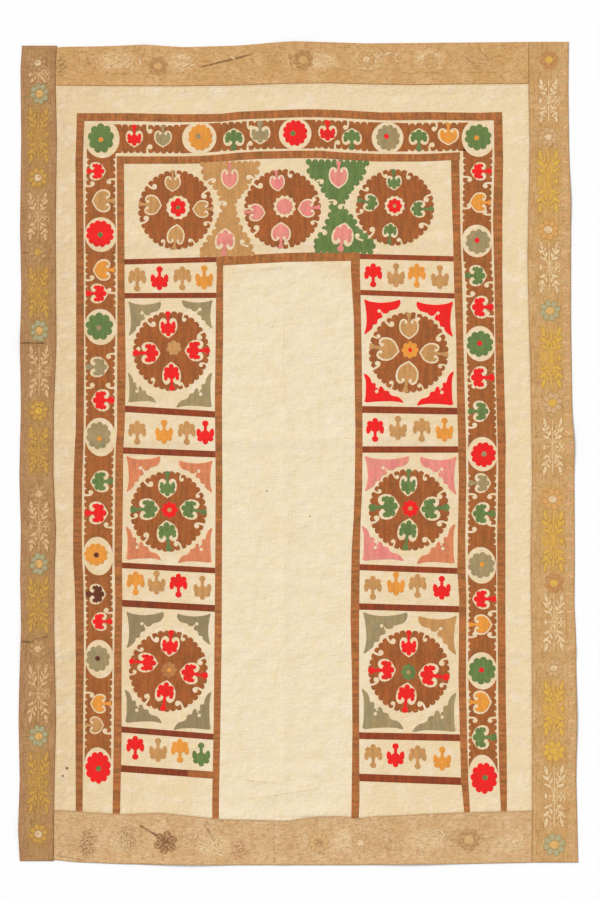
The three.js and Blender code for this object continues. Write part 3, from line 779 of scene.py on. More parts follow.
# The guard border's three sides: place along it, its middle and its half width to the lobes' tips.
GUARD_TOP = [
    (-521, 831, 38), (-338, 829, 38), (-259, 831, 38), (-219, 834, 38), (-154, 838, 38.5), (-60, 841.5, 38),
    (31, 843, 38), (110, 841, 38.5), (177, 836, 38.5), (275, 834, 37.5), (375, 835.5, 38.5), (476, 835.5, 37)]
GUARD_LEFT = [
    (-833, -529, 35), (-651, -527, 35.5), (-546, -525, 35), (-387, -525, 36), (-334, -527, 36),
    (-202, -527.5, 38), (-31, -526, 38.5), (61, -522.5, 37.5), (220, -522.5, 39), (431, -521.5, 40),
    (669, -522, 40), (774, -520, 38)]
GUARD_RIGHT = [
    (-856, 489, 38), (-783, 487.5, 38), (-625, 486, 36.5), (-493, 485.5, 37), (-414, 486.5, 37.5),
    (-202, 484.5, 37), (-70, 486, 37), (61, 486, 37.5), (141, 484.5, 37.5), (220, 482, 36), (378, 480, 37),
    (431, 479.5, 36.5), (537, 471.5, 38), (669, 472, 38), (761, 474, 38.5)]
# A bare ogee and the leaf in it, head up, as shares of their half width and half length.
OGEE = [(0, -0.5), (0.15, -0.74), (0.37, -0.96), (0.64, -1), (0.88, -0.8), (1, -0.38), (0.95, 0.1),
        (0.72, 0.5), (0.36, 0.78), (0.1, 0.93), (0, 1)]
OGEE += [(-x, y) for x, y in OGEE[-2:0:-1]]
LEAF_LOBES = [(0, 0.64, 0.33, 0.38), (0.58, 0.34, 0.34, 0.33), (0.7, -0.16, 0.3, 0.3),
              (0.72, -0.52, 0.24, 0.3), (0, -0.02, 0.64, 0.66)]
# A hook's path from its root, its ball's middle and the ball's radius.
HOOK_PATH = [(0, -4), (-0.5, 4), (0, 10), (2, 15), (6, 17.5), (9.5, 15.5)]
HOOK_BALL = (7, 12.5)
BALL = 5.1
HOOK_FAT = 4.5
HOOK_SIZE = 1.1
HOOK_INSET = 3
# How much of its ogee a full leaf and a lobed leaf take up, across and along.
FULL_LEAF = (0.84, 0.83)
LOBED_LEAF = (0.84, 0.8)
# A palmette's bare curl as shares of its half width and half length, and its club's half width as a share of
# its width.
CURL = (0.31, -0.68, 0.15, 0.2)
CLUB = 0.155


def put(points, x, y, turn, wide=1.0, tall=1.0):
    """Points drawn upright round their own middle, sized, turned and put in place."""
    c, s = math.cos(turn), math.sin(turn)
    return [(x + c * u * wide - s * v * tall, y + s * u * wide + c * v * tall) for u, v in points]


def oval(x, y, wide, tall, turn=0.0, count=12):
    """An oval outline by its half width and half height."""
    angles = [2 * math.pi * i / count for i in range(count)]
    return put([(math.cos(angle), math.sin(angle)) for angle in angles], x, y, turn, wide, tall)


def uneven(size, number, start):
    """A lobe's size, a little different from its neighbours'."""
    return size * (1 + 0.07 * math.sin(number * 2.3 + start))


def stroke(path, start, stop):
    """The outline of a line of stitches along a path, from one width to another."""
    left, right = [], []
    for i, (x, y) in enumerate(path):
        ax, ay = path[max(0, i - 1)]
        bx, by = path[min(len(path) - 1, i + 1)]
        half = (start + (stop - start) * i / (len(path) - 1)) / 2
        long = math.hypot(bx - ax, by - ay)
        dx, dy = (ay - by) / long * half, (bx - ax) / long * half
        left.append((x + dx, y + dy))
        right.append((x - dx, y - dy))
    return left + right[::-1]


def hook(x, y, turn, hand, size, fat=HOOK_FAT):
    """A bare hook that runs into the stitching from its edge and curls to a ball."""
    path = put([(u * hand, v) for u, v in HOOK_PATH], x, y, turn, size, size)
    ball = put([(HOOK_BALL[0] * hand, HOOK_BALL[1])], x, y, turn, size, size)[0]
    return [(None, stroke(path, fat * 1.2, fat)), (None, oval(*ball, BALL * size, BALL * size))]


def palmette(thread, x, y, wide, long, end, full=False, ogee=True):
    """A lobed leaf in a bare ogee of this width and length, whose stem runs to end. If full, it
    fills its ogee."""
    turn = math.atan2(y - end[1], x - end[0]) - math.pi / 2
    reach = math.hypot(y - end[1], x - end[0])
    shapes = []

    def add(tone, points, across=wide / 2, along=long / 2):
        shapes.append((tone, put(points, x, y, turn, across, along)))

    if ogee:
        add(None, OGEE)
    if full:
        add(thread, [(u * FULL_LEAF[0], v * FULL_LEAF[1]) for u, v in OGEE])
    for u, v, across, along in [] if full else LEAF_LOBES:
        for hand in (-1, 1) if u else (1,):
            lobe = oval(u * hand, v, across, along)
            add(thread, [(p * LOBED_LEAF[0], q * LOBED_LEAF[1]) for p, q in lobe])
    for hand in (-1, 1):
        add(None, oval(CURL[0] * hand, *CURL[1:]))
    club = wide * CLUB
    neck = club * 0.48
    tip = club * 0.95 if full else neck * 1.3
    add(thread, [(-neck, 0), (-neck, -0.7 * reach), (-tip, 2 - reach), (tip, 2 - reach), (neck, -0.7 * reach),
                 (neck, 0)], 1, 1)
    if not full:
        add(thread, oval(0, club * 0.95 - reach, club, club * 0.95), 1, 1)
    return shapes


def rosette(thread, eye, x, y, petals, wide, tall, eye_place, eye_radius, turn):
    """Round petals about a small eye."""
    lobe = math.sin(math.pi / petals)
    petal = lobe / (1 + lobe) * 1.12
    reach = 1 - petal
    shapes = []
    for i in range(petals):
        angle = turn + 2 * math.pi * i / petals
        middle = x + wide * reach * math.cos(angle), y + tall * reach * math.sin(angle)
        shapes.append((thread, oval(*middle, wide * petal, tall * petal)))
    shapes.append((thread, oval(x, y, wide * reach, tall * reach, 0, 24)))
    if eye_radius:
        shapes.append((eye, oval(*eye_place, eye_radius, eye_radius)))
    return shapes


# Rosettes: x, y, thread, eye, petals, half width, half height, the eye's x and y, and the open gap's middle
# and half sizes.
ROSETTES = [
    (-520.5, 831.5, "green", "orange", 9, 35, 40, -520.5, 828, (-518, 831, 46.5, 51.5)),
    (-258, 834, "orange", "grey", 12, 33, 35.5, -263.5, 836.5, (-261, 832.5, 45.5, 43)),
    (-8, 845.5, "red", "green", 12, 33, 35, -13.5, 844.5, (-8, 843, 43, 42)),
    (237, 833, "grey", "red", 11, 32, 35, 233, 836.5, (236, 832.5, 42, 42)),
    (475, 834, "green", "orange", 10, 36, 35, 471, 832.5, (475, 831.5, 43.5, 49)),
    (-523, 579.5, "red", "green", 12, 37.5, 36, -522, 576.5, (-520.5, 577.5, 42.5, 46)),
    (-524.5, 335, "green", "grey", 9, 37, 37, -526, 331, (-522, 333.5, 42.5, 47.5)),
    (-527, 47, "grey", "orange", 10, 33, 37, -524.5, 39, (-522, 43, 41, 51)),
    (-533.5, -267, "orange", "umber", 11, 31.5, 30.5, -532.5, -268.5, (-528.5, -271, 39.5, 51)),
    (-528.5, -541.5, "grey", "umber", 10, 32, 35.5, -529, -541.5, (-524, -543, 38.5, 51)),
    (-528, -829.5, "red", "green", 11, 34.5, 43, -527, -832, (-527, -829.5, 37.5, 54)),
    (474.5, 559, "grey", "red", 10, 33.5, 33, 472, 562, (472, 560.5, 40.5, 43)),
    (479.5, 289, "green", "red", 10, 36, 35, 479, 290, (480, 289.5, 40, 47)),
    (489, -3.5, "red", "grey", 11, 34, 33.5, 490.5, -2, (486.5, -2, 39.5, 45.5)),
    (483.5, -295, "grey", "orange", 10, 36, 35, 485.5, -293.5, (482.5, -295.5, 40, 48.5)),
    (485.5, -573.5, "green", "red", 10, 37, 37, 484, -572, (485.5, -574, 40, 49.5)),
    (490.5, -857.5, "red", "green", 11, 36, 42, 493.5, -856, (489, -857, 39.5, 62))]
# Palmettes in the border: x, y, thread, where the stem points, whether full, and the ogee's width and length.
TOP_PALMETTES = [
    (-432.5, 829.5, "red", "up", 0, 46, 45), (-357, 829.5, "grey", "up", 1, 47.5, 45),
    (-170, 835, "green", "down", 0, 57, 47.5), (-100.5, 839.5, "grey", "up", 0, 55, 49),
    (77.5, 843, "red", "up", 0, 50, 45), (141.5, 836.5, "green", "down", 0, 54, 45),
    (318.5, 836.5, "green", "down", 0, 54, 45), (396.5, 835.5, "orange", "up", 1, 57, 46)]
LEFT_PALMETTES = [
    (-529, 744.5, "red", "left", 0, 49, 44), (-520.5, 666.5, "tan", "right", 1, 62, 50),
    (-519, 484, "orange", "right", 1, 58, 47.5), (-524.5, 422, "red", "left", 0, 53, 47),
    (-524.5, 228, "grey", "left", 0, 55, 50), (-522.5, 140, "red", "right", 0, 59, 49),
    (-524.5, -74, "green", "right", 0, 59, 50), (-526.5, -157.5, "red", "left", 0, 61, 51.5),
    (-529, -371.5, "umber", "left", 0, 55, 44), (-526, -444, "red", "right", 0, 50, 42),
    (-528.5, -660.5, "orange", "right", 1, 53, 42), (-531.5, -717.5, "tan", "left", 1, 47.5, 38)]
RIGHT_PALMETTES = [
    (475, 744.5, "red", "right", 0, 49, 42), (474, 662, "orange", "right", 1, 55, 46),
    (475, 469, "green", "left", 0, 57, 47.5), (477.5, 386, "red", "right", 0, 61, 47.5),
    (475, 200, "red", "right", 0, 61, 47.5), (484, 111, "green", "left", 0, 57, 45),
    (487.5, -78.5, "grey", "left", 0, 53, 43.5), (481, -159, "green", "right", 0, 61, 49),
    (482.5, -384.5, "red", "right", 0, 55, 47.5), (488.5, -452, "orange", "left", 1, 55, 49),
    (486.5, -657, "orange", "left", 1, 63, 50), (480, -749.5, "green", "right", 0, 65, 47.5)]
# The hooks of each side, by the edge that they enter: above or right of the middle, then the other edge.
TOP_HOOKS = ([-399, -140, 124, 356], [-395, -140, 105, 353])
LEFT_HOOKS = ([719, 426, 254, 180, -195, -414, -730], [706, 455, 172, -102, -633])
RIGHT_HOOKS = ([706, 629, 442, 354, -107, -195, -422, -485, -696],
               [727, 655, 413, 180, 69, -110, -202, -488, -696])
GUARD_SIDES = [
    ("guard_top", 0, GUARD_TOP, ROSETTES[:5], TOP_PALMETTES, TOP_HOOKS),
    ("guard_left", 1, GUARD_LEFT, ROSETTES[10:4:-1] + ROSETTES[:1], LEFT_PALMETTES, LEFT_HOOKS),
    ("guard_right", 1, GUARD_RIGHT, ROSETTES[:10:-1] + ROSETTES[4:5], RIGHT_PALMETTES, RIGHT_HOOKS)]
# The stitching stops at the middle of the end rosettes. What is cut away beyond them is this long. On the top
# border it lies between two heights, and on the side ones it reaches this far to the left and right.
END_CUT = 90
TOP_CUT = (760, 900)
SIDE_CUT = 80
ROSETTE_EYE = 7
ROSETTE_TURN = 0.2
# A gap's oval leans a little.
GAP_TURN = 0.12


def cartouche(thread, way, rows, start, stop, hooks):
    """One stretch of the border between two rosettes: way 0 runs along x and 1 along y."""
    shapes = []

    def add(tone, points):
        shapes.append((tone, points if way == 0 else [(v, u) for u, v in points]))

    def edge(u, side, inset=0.0):
        return u, between(rows, u, 1) + side * (between(rows, u, 2) - inset)

    count = 2 + round((stop - start) / STATION)
    stations = [start + (stop - start) * i / (count - 1) for i in range(count)]
    add(thread, [edge(u, -1, LOBE) for u in stations] + [edge(u, 1, LOBE) for u in stations[::-1]])
    for end, inward in ((start, 1), (stop, -1)):
        tip = end + inward * HORN_REACH
        root = tip + inward * HORN_SLOPE
        add(thread, [edge(end, -1), edge(tip, -1), edge(root, -1, LOBE), edge(root, 1, LOBE), edge(tip, 1),
                     edge(end, 1)])
    first = start + HORN_REACH + LOBE_START
    run = stop - start - 2 * HORN_REACH - 2 * LOBE_START
    count = max(1, round(run / LOBE_PITCH))
    for side in (-1, 1):
        for i in range(count):
            size = uneven(LOBE, i, start)
            add(thread, oval(*edge(first + run * (i + 0.5) / count, side, LOBE), size, size))
        for i in range(count + 1):
            u = first + run * i / count
            mouth = [edge(u + half, side, -1) for half in (-NOTCH_HALF, NOTCH_HALF)]
            add(None, mouth + [edge(u, side, NOTCH_DEEP)])
    for side, places in zip((1, -1), hooks):
        for place in places:
            valley = round((place - first) / run * count)
            if 0 <= valley <= count:
                turn = 0.0 if side < 0 else math.pi
                u, v = edge(first + run * valley / count, side, HOOK_INSET)
                for tone, outline in hook(u, v, turn, side if valley > count / 2 else -side, HOOK_SIZE):
                    add(tone, outline)
    return shapes


for name, way, rows, stops, palmettes, hooks in GUARD_SIDES:
    guard_shapes = []
    for start, stop in zip(stops, stops[1:]):
        guard_shapes += cartouche(("guard", "y"), way, rows, start[way], stop[way], hooks)
    for stop in stops:
        x, y, wide, tall = stop[9]
        guard_shapes.append((None, oval(x, y, wide, tall, GAP_TURN, 32)))
    for x, y, tone, points_to, full, wide, long in palmettes:
        sign = 1 if points_to in ("up", "right") else -1
        along = x if way == 0 else y
        rim = between(rows, along, 1) + sign * between(rows, along, 2)
        end = (x, rim) if way == 0 else (rim, y)
        guard_shapes += palmette((tone, "y"), x, y, wide, long, end, full)
    for (x, y), side in ((stops[0][:2], -1), (stops[-1][:2], 1)):
        far_x, far_y = x + side * END_CUT, y + side * END_CUT
        if way == 0:
            low, high = TOP_CUT
            cut = [(x, low), (far_x, low), (far_x, high), (x, high)]
        else:
            cut = [(x - SIDE_CUT, y), (x + SIDE_CUT, y), (x + SIDE_CUT, far_y), (x - SIDE_CUT, far_y)]
        guard_shapes.append((None, cut))
    stitching += sew(name, guard_shapes, GROUND_THICK)
rosette_shapes = []
for x, y, tone, eye, petals, wide, tall, eye_x, eye_y, _ in ROSETTES:
    rosette_shapes += rosette((tone, "y"), (eye, "y"), x, y, petals, wide, tall, (eye_x, eye_y),
                              ROSETTE_EYE, ROSETTE_TURN)
stitching += sew("rosettes", rosette_shapes, GROUND_THICK)

# The large round flowers: brown floss laid end to end of the cloth, with a scalloped rim and bare hooks.
# Four palmettes in bare ogees point at a small middle flower.
RIM_LOBE = 9
RIM_PITCH = 16.5
BROWN = ("brown", "y")
# The notch between two rim lobes: turn in lobes, and how far out of the lobes' middles.
RIM_NOTCH = [(-0.14, 10), (0.14, 10), (0, 1.5)]
# A hook is smaller where it has less clear than this to the nearest ogee. They are rooted out in the rim.
HOOK_CLEAR = 30
HOOK_ROOT = 6
STAR_POINTS = 12
# Each round flower: middle and half sizes; the middle flower's x, y, thread, eye, petals, half sizes and eye
# radius; its open star's two radii, or none; the palmettes' thread and whether full; then its palmettes, top,
# left, right and bottom: ogee's middle, width, length and stem's end; and the hooks' compass degrees.
ROUNDELS = [
    ((-322.5, 642.5, 100, 105.5), (-317, 649, "red", "green", 6, 22, 25, 5), (29, 32.5), ("tan", 1),
     [(-331.5, 711, 43.5, 42, -330.5, 748), (-382.5, 655.5, 55, 46, -423, 658),
      (-258, 645, 47.5, 43.5, -223, 645), (-322.5, 579, 47.5, 54, -328, 537)],
     [4, 62, 113, 158, 208, 259, 316]),
    ((-41.5, 645, 102, 105.5), (-36, 651.5, "pink", "pink", 12, 22, 22, 0), (26, 31), ("pink", 1),
     [(-55, 712.5, 41, 43.5, -58.5, 749), (-107.5, 635.5, 47.5, 43.5, -144, 637),
      (20.5, 646.5, 50, 45, 60.5, 650), (-45.5, 585.5, 53, 51.5, -45.5, 539)],
     [20, 74, 120, 174, 240, 281, 321]),
    ((255.5, 649, 104, 101.5), (254.5, 653, "red", "tan", 8, 20, 20, 4.7), (24, 28), ("green", 0),
     [(253, 713.5, 42, 40, 251.5, 750.5), (193.5, 661, 47.5, 41, 155.5, 668.5),
      (315, 645, 46, 41, 358.5, 645), (243, 589.5, 42, 40, 240, 551)],
     [25, 80, 128, 176, 226, 270, 308, 341]),
    ((-335.5, 270, 101.5, 105.5), (-328, 278, "tan", "tan", 7, 20, 20, 0), None, ("red", 0),
     [(-343, 330.5, 49, 54, -344, 375.5), (-388.5, 264.5, 59.5, 50, -437, 265),
      (-275, 271.5, 58, 50, -232, 271.5), (-334.5, 212, 50, 61, -333, 164.5)],
     [23, 68, 117, 168, 217, 276, 330]),
    ((-342.5, -153.5, 101.5, 107), (-339.5, -149.5, "red", "tan", 8, 22, 22, 6), None, ("green", 0),
     [(-345, -92.5, 50, 51.5, -345, -46.5), (-392.5, -147, 58, 54, -444, -149.5),
      (-288.5, -147, 54, 51.5, -241, -156.5), (-346, -205, 57, 58, -341, -259)],
     [27, 68, 119, 165, 221, 267, 322]),
    ((-342.5, -574.5, 104.5, 108), (-341, -572, "fawn", "orange", 8, 21, 21, 5.5), None, ("red", 0),
     [(-338.5, -510, 51.5, 54, -334.5, -466), (-396.5, -552.5, 53, 55, -447, -548.5),
      (-288, -580, 58, 51.5, -238, -588), (-350, -627.5, 55, 59, -357, -681)],
     [32, 81, 124, 168, 221, 272, 313, 342]),
    ((291.5, 266, 105.5, 107), (295.5, 272.5, "orange", "red", 8, 23, 23, 5.5), None, ("tan", 1),
     [(292.5, 328, 53, 55, 292.5, 373), (238.5, 274, 63, 59, 186, 283.5),
      (345.5, 265, 55, 53, 397, 261), (288.5, 213.5, 61, 63, 282, 159)],
     [22, 70, 115, 161, 208, 256, 298, 331]),
    ((292.5, -149.5, 107, 108), (296, -145.5, "red", "tan", 8, 22.5, 22.5, 6), None, ("green", 0),
     [(290.5, -86.5, 47.5, 55, 292.5, -41), (240, -140.5, 68.5, 57, 186, -144.5),
      (347, -146.5, 64.5, 54, 400, -142), (290, -201, 55, 61, 282, -257)],
     [27, 69, 114, 154, 208, 257, 305, 339]),
    ((292.5, -576, 108, 109.5), (291.5, -577.5, "green", "tan", 8, 20, 22, 5.3), None, ("red", 0),
     [(292, -512, 49, 54, 291.5, -466.5), (234.5, -572, 61, 47.5, 184, -573.5),
      (343, -585, 64.5, 53, 400, -592), (286, -633.5, 55, 59, 281, -685.5)],
     [28, 77, 115, 163, 207, 258, 302, 337]),
]


def on_rim(x, y, across, along, turn, lobes):
    """A place on an oval rim after so many of its lobes."""
    angle = 2 * math.pi * turn / lobes
    return x + across * math.cos(angle), y + along * math.sin(angle)


round_shapes = []
for (x, y, wide, tall), flower, star_radii, (tone, full), palmettes, hooks in ROUNDELS:
    across, along = wide - RIM_LOBE, tall - RIM_LOBE
    round_shapes.append((BROWN, oval(x, y, across, along, 0, 48)))
    lobes = round(math.pi * (across + along) / RIM_PITCH)
    for i in range(lobes):
        size = uneven(RIM_LOBE, i, x)
        round_shapes.append((BROWN, oval(*on_rim(x, y, across, along, i + 0.5, lobes), size, size)))
    for i in range(lobes):
        notch = [on_rim(x, y, across + out, along + out, i + turn, lobes) for turn, out in RIM_NOTCH]
        round_shapes.append((None, notch))
    for compass in hooks:
        turn = round(math.radians(96 - compass) / (2 * math.pi / lobes))
        root = on_rim(x, y, across + HOOK_ROOT, along + HOOK_ROOT, turn, lobes)
        clear = min(math.dist(root, row[:2]) - row[3] / 2 for row in palmettes)
        size = 1.25 if clear > HOOK_CLEAR else 0.95
        round_shapes += hook(*root, 2 * math.pi * turn / lobes + math.pi / 2, -1, size, 3.7 * size)
    for u, v, across, along, end_x, end_y in palmettes:
        round_shapes += palmette((tone, "y"), u, v, across, along, (end_x, end_y), full)
    x, y, thread, eye, petals, wide, tall, eye_radius = flower
    if star_radii:
        star = [on_rim(x, y, star_radii[i % 2], star_radii[i % 2], i, 2 * STAR_POINTS)
                for i in range(2 * STAR_POINTS)]
        round_shapes.append((None, star))
    round_shapes += rosette((thread, "y"), (eye, "y"), x, y, petals, wide, tall, (x, y), eye_radius,
                            math.pi / 2)
stitching += sew("roundels", round_shapes, GROUND_THICK)

# Two hourglass fillers between the top round flowers, one tan and one green, in the same laid floss.
# Their sides and ends are scalloped, and each has two pink palmettes in bare ogees, stems to the ends.
HOURGLASS_LOBE = 8.2
HOURGLASS_PITCH = 16.5
# How far the lobes' middles lie in from the sides given here.
HOURGLASS_INSET = 7
# Each: thread, left side, right side, palmettes, and the hooks' balls with their turn in degrees and hand.
HOURGLASSES = [
    ("tan",
     [(-259, 764), (-256, 743), (-251, 727), (-238, 716), (-225, 703), (-214, 687), (-209, 669), (-206, 650),
      (-209, 629), (-220, 603), (-227, 584), (-241, 568), (-251, 550), (-259, 537), (-259, 524)],
     [(-101, 764), (-103, 743), (-114, 729), (-124, 719), (-132, 703), (-143, 692), (-151, 679), (-161, 666),
      (-164, 648), (-161, 634), (-154, 616), (-146, 595), (-135, 576), (-127, 563), (-119, 545), (-115, 526)],
     [(-181, 723, 47.5, 55, -181, 768), (-193, 566, 54, 58, -196, 519.5)],
     [(-225, 719, -55, 1), (-196, 658, -80, 1), (-130, 727, 40, -1), (-146, 558, 75, 1)]),
    ("green",
     [(21, 769), (23, 745), (31, 732), (44, 722), (55, 711), (60, 695), (71, 682), (79, 669), (81, 650),
      (79, 629), (71, 611), (63, 592), (52, 576), (42, 560), (42, 545), (45, 534)],
     [(187, 766), (179, 743), (171, 727), (161, 714), (147, 700), (140, 692), (134, 677), (124, 663),
      (121, 650), (132, 637), (145, 624), (155, 611), (161, 592), (171, 584), (184, 574), (198, 560),
      (204, 547), (197, 532)],
     [(106.5, 727, 53, 58, 106.5, 773), (118.5, 579, 59, 62, 110.5, 531.5)],
     [(60, 716, -60, 1), (95, 661, -85, 1), (68, 582, -95, 1), (113, 650, 75, -1), (158, 574, 70, 1)]),
]


def scallops(thread, path, pitch, radius):
    """Lobes at an even pitch along a path."""
    shapes = []
    for (ax, ay), (bx, by) in zip(path, path[1:]):
        count = max(1, round(math.hypot(bx - ax, by - ay) / pitch))
        for i in range(count):
            share = i / count
            shapes.append((thread, oval(ax + (bx - ax) * share, ay + (by - ay) * share, radius, radius)))
    return shapes


hourglass_shapes = []
for tone, left, right, palmettes, hooks in HOURGLASSES:
    thread = (tone, "y")
    outline = [(x + HOURGLASS_INSET, y) for x, y in left] + [(x - HOURGLASS_INSET, y) for x, y in right[::-1]]
    hourglass_shapes.append((thread, outline))
    hourglass_shapes += scallops(thread, outline + outline[:1], HOURGLASS_PITCH, HOURGLASS_LOBE)
    for x, y, degrees, hand in hooks:
        turn = math.radians(degrees)
        root = put([(-HOOK_BALL[0] * hand, -HOOK_BALL[1])], x, y, turn)[0]
        hourglass_shapes += hook(*root, turn, hand, HOOK_SIZE)
    for x, y, wide, long, end_x, end_y in palmettes:
        hourglass_shapes += palmette(("pink", "y"), x, y, wide, long, (end_x, end_y), y > 650)
stitching += sew("hourglasses", hourglass_shapes, GROUND_THICK)

# The corner pieces of the six round-flower panels: laid floss in horns with two concave outer sides.
# Their inner side is lobed, and a bare hook runs into each.
# Each panel's four, upper left, upper right, lower left and lower right: thread, tip x, y, width and height.
PANELS = [
    [("grey", -449, 402, 87, 92), ("grey", -225, 406, 82, 76.5), ("grey", -449, 134, 74, 80),
     ("grey", -227.5, 121, 95, 94)],
    [("salmon", -454.5, -6, 91, 96), ("salmon", -225, -17.5, 90, 87), ("salmon", -454.5, -281.5, 93, 90),
     ("salmon", -227.5, -289.5, 91, 95)],
    [("grey_dark", -454.5, -416.5, 100, 98), ("grey_dark", -230, -421.5, 90, 84.5),
     ("grey_dark", -457, -712, 98, 90), ("grey_dark", -230, -730.5, 100, 103)],
    [("red", 172.5, 407.5, 98, 94), ("red", 410, 402, 98, 95), ("red", 174, 133.5, 105, 79),
     ("red", 410, 126, 98, 92)],
    [("pink", 174, -6, 119, 94), ("pink", 419.5, -7, 98, 103), ("pink", 168.5, -284.5, 111, 95),
     ("salmon", 414, -292, 102, 108)],
    [("grey", 170, -417.5, 119, 112), ("tan", 419.5, -427, 103, 106), ("grey", 168.5, -729, 111, 110),
     ("grey", 416.5, -736, 116, 106)],
]
# The upper and the lower horn from the tip, inwards along the width and the height, with their bare hooks.
UPPER_HORN = [(0, 0), (17, 7), (44, 10.5), (71, 8.5), (87, 5), (99, 1), (100, 11.5), (96.5, 19.5), (89.5, 27),
              (77, 30), (69, 32), (66.5, 37.5), (59.5, 39.5), (53, 38), (51, 46.5), (49, 51), (40, 53),
              (37.5, 58), (36.5, 67.5), (25.5, 68.5), (24, 78.5), (17, 85), (7.5, 92), (1, 95), (6.5, 77.5),
              (8.5, 58), (7.5, 38.5), (4.5, 15.5)]
LOWER_HORN = [(0, 0), (33, 3), (72, 4), (91, 2), (104.5, -1), (99, 8), (89.5, 15.5), (76, 17.5), (68, 21.5),
              (66, 29), (60, 31), (52.5, 31), (50.5, 38.5), (44, 42.5), (38, 38.5), (29.5, 38.5),
              (31.5, 46.5), (27.5, 51.5), (20.5, 49.5), (17, 62), (10, 70.5), (-2, 76.5), (4.5, 56),
              (4.5, 33), (3.5, 13.5)]
HORN_HOOK = (4.4, 3.6)
HORN_BALL = 4.6
HORNS = [(UPPER_HORN, 100, 95, [(60, 50), (52, 42), (48, 34)], (42, 32)),
         (LOWER_HORN, 104.5, 76.5, [(36, 48), (38, 41), (37, 34)], (33, 29))]


def softened(outline):
    """The outline with its corners cut, so that few points make soft lobes."""
    cut = []
    for (ax, ay), (bx, by) in zip(outline, outline[1:] + outline[:1]):
        for share in (0.22, 0.78):
            cut.append((ax + (bx - ax) * share, ay + (by - ay) * share))
    return cut


horn_shapes = []
for panel in PANELS:
    for number, (tone, x, y, wide, tall) in enumerate(panel):
        outline, base_wide, base_tall, path, ball = HORNS[number // 2]
        across = wide / base_wide * (1 if number % 2 == 0 else -1)
        along = tall / base_tall * (-1 if number < 2 else 1)
        horn_shapes.append(((tone, "y"), [(x + u * across, y + v * along) for u, v in softened(outline)]))
        path = [(x + u * across, y + v * along) for u, v in path]
        horn_shapes.append((None, stroke(path, *HORN_HOOK)))
        horn_shapes.append((None, oval(x + ball[0] * across, y + ball[1] * along, HORN_BALL, HORN_BALL)))
stitching += sew("corners", horn_shapes, GROUND_THICK)

# The small palmettes in rows of four between the crossbars, in laid floss straight on the bare cloth.
# Every other one is head down, and each has a narrow ear on either side of its stem.
ROW_PALMETTES = [
    (-425, 459, "tan"), (-366, 462, "red"), (-306, 462, "tan"), (-248, 464, "orange"),
    (198, 470, "red"), (258, 470, "tan"), (313, 469, "orange"), (374, 465, "tan"),
    (-425, 55, "tan"), (-354, 57, "orange"), (-294, 54, "tan"), (-245, 55, "red"),
    (203, 62, "red"), (263, 67, "tan"), (326, 62, "tan"), (386, 62, "orange"),
    (-429, -343, "orange"), (-374, -341, "tan"), (-316, -349, "red"), (-253, -355, "tan"),
    (197, -355, "tan"), (258, -344, "orange"), (315, -350, "tan"), (379, -355, "red"),
    (-430, -777, "red"), (-370, -783, "tan"), (-312, -785, "orange"), (-256, -795, "green"),
    (198, -799, "tan"), (257, -797, "red"), (315, -802, "tan"), (380, -806, "orange")]
ROW_SIZE = 56
ROW_HEAD = 9
ROW_STEM = 32
# An ear's middle, half sizes and lean.
EAR = (19.5, -11, 4.2, 9, -0.14)
row_shapes = []
for number, (x, y, tone) in enumerate(ROW_PALMETTES):
    head = -1 if number % 2 else 1
    middle = y + ROW_HEAD * head
    row_shapes += palmette((tone, "y"), x, middle, ROW_SIZE, ROW_SIZE, (x, y - ROW_STEM * head), ogee=False)
    for hand in (-1, 1):
        ear = oval(EAR[0] * hand, *EAR[1:4], EAR[4] * hand)
        row_shapes.append(((tone, "y"), put(ear, x, middle, math.pi * (number % 2))))
stitching += sew("palmettes", row_shapes, GROUND_THICK)

# The side strips' flowers and leaf sprays, in thin thread that has faded and rubbed into the cloth.
# Round flowers and upright sprays take turns down each strip, and a pale chain edges the right one.
WORN_RISE = 0.35
WORN_CELL = 30
WORN_PITCH = 1.1
# The shade, moss and olive dyes only make the darker rims under leaves and petals: partly their stitched
# outlines and partly painted shadow.
WORN_DYES = {
    "teal": ((168, 172, 136), 0.25), "yellow": ((224, 176, 66), 0.15), "white": ((238, 212, 168), 0.3),
    "faint": ((212, 176, 134), 0.4), "rust": ((188, 120, 64), 0.3), "peach": ((226, 178, 104), 0.2),
    "cream": ((234, 206, 164), 0.3), "gold": ((214, 168, 104), 0.4), "dun": ((172, 120, 72), 0.3),
    "dun_dark": ((116, 70, 42), 0.2), "ghost": ((204, 162, 112), 0.5), "blush": ((216, 160, 128), 0.4),
    "sage": ((188, 172, 122), 0.4), "chalk": ((228, 186, 138), 0.25), "ochre": ((206, 158, 68), 0.2),
    "amber": ((224, 162, 84), 0.3), "shade": ((142, 98, 54), 0.5), "moss": ((140, 134, 80), 0.25),
    "olive": ((156, 116, 48), 0.35), "earth": ((142, 94, 56), 0.25),
}
worn_silks = {}


def worn_silk(tone, side):
    """Old thread on one of the strips, with that strip's own cloth showing where it has rubbed away."""
    if (tone, side) in worn_silks:
        return worn_silks[tone, side]
    seen, lost = WORN_DYES[tone]
    base, light, dark = STRIP_TONES[side]
    fabric = Fabric(f"worn_{tone}_{side}", dye(*seen), 0.8)
    seed = 50.0 + len(worn_silks) * 3
    fibres = fabric.noise(3.0, 3.0, seed + 10, 2.0)
    fabric.stain(fabric.noise(7, 7, seed).ramp(0.6 - lost * 0.6, 0.64) * (0.45 + lost), base)
    fabric.stain(lost * 0.4, light)
    fabric.stain(fibres.ramp(0.55, 0.7) * 0.5, dark)
    worn_silks[tone, side] = fabric.finish(abs(fabric.x.wave(WORN_PITCH)) * 0.4 + fibres * 0.7, 0.3)
    return worn_silks[tone, side]


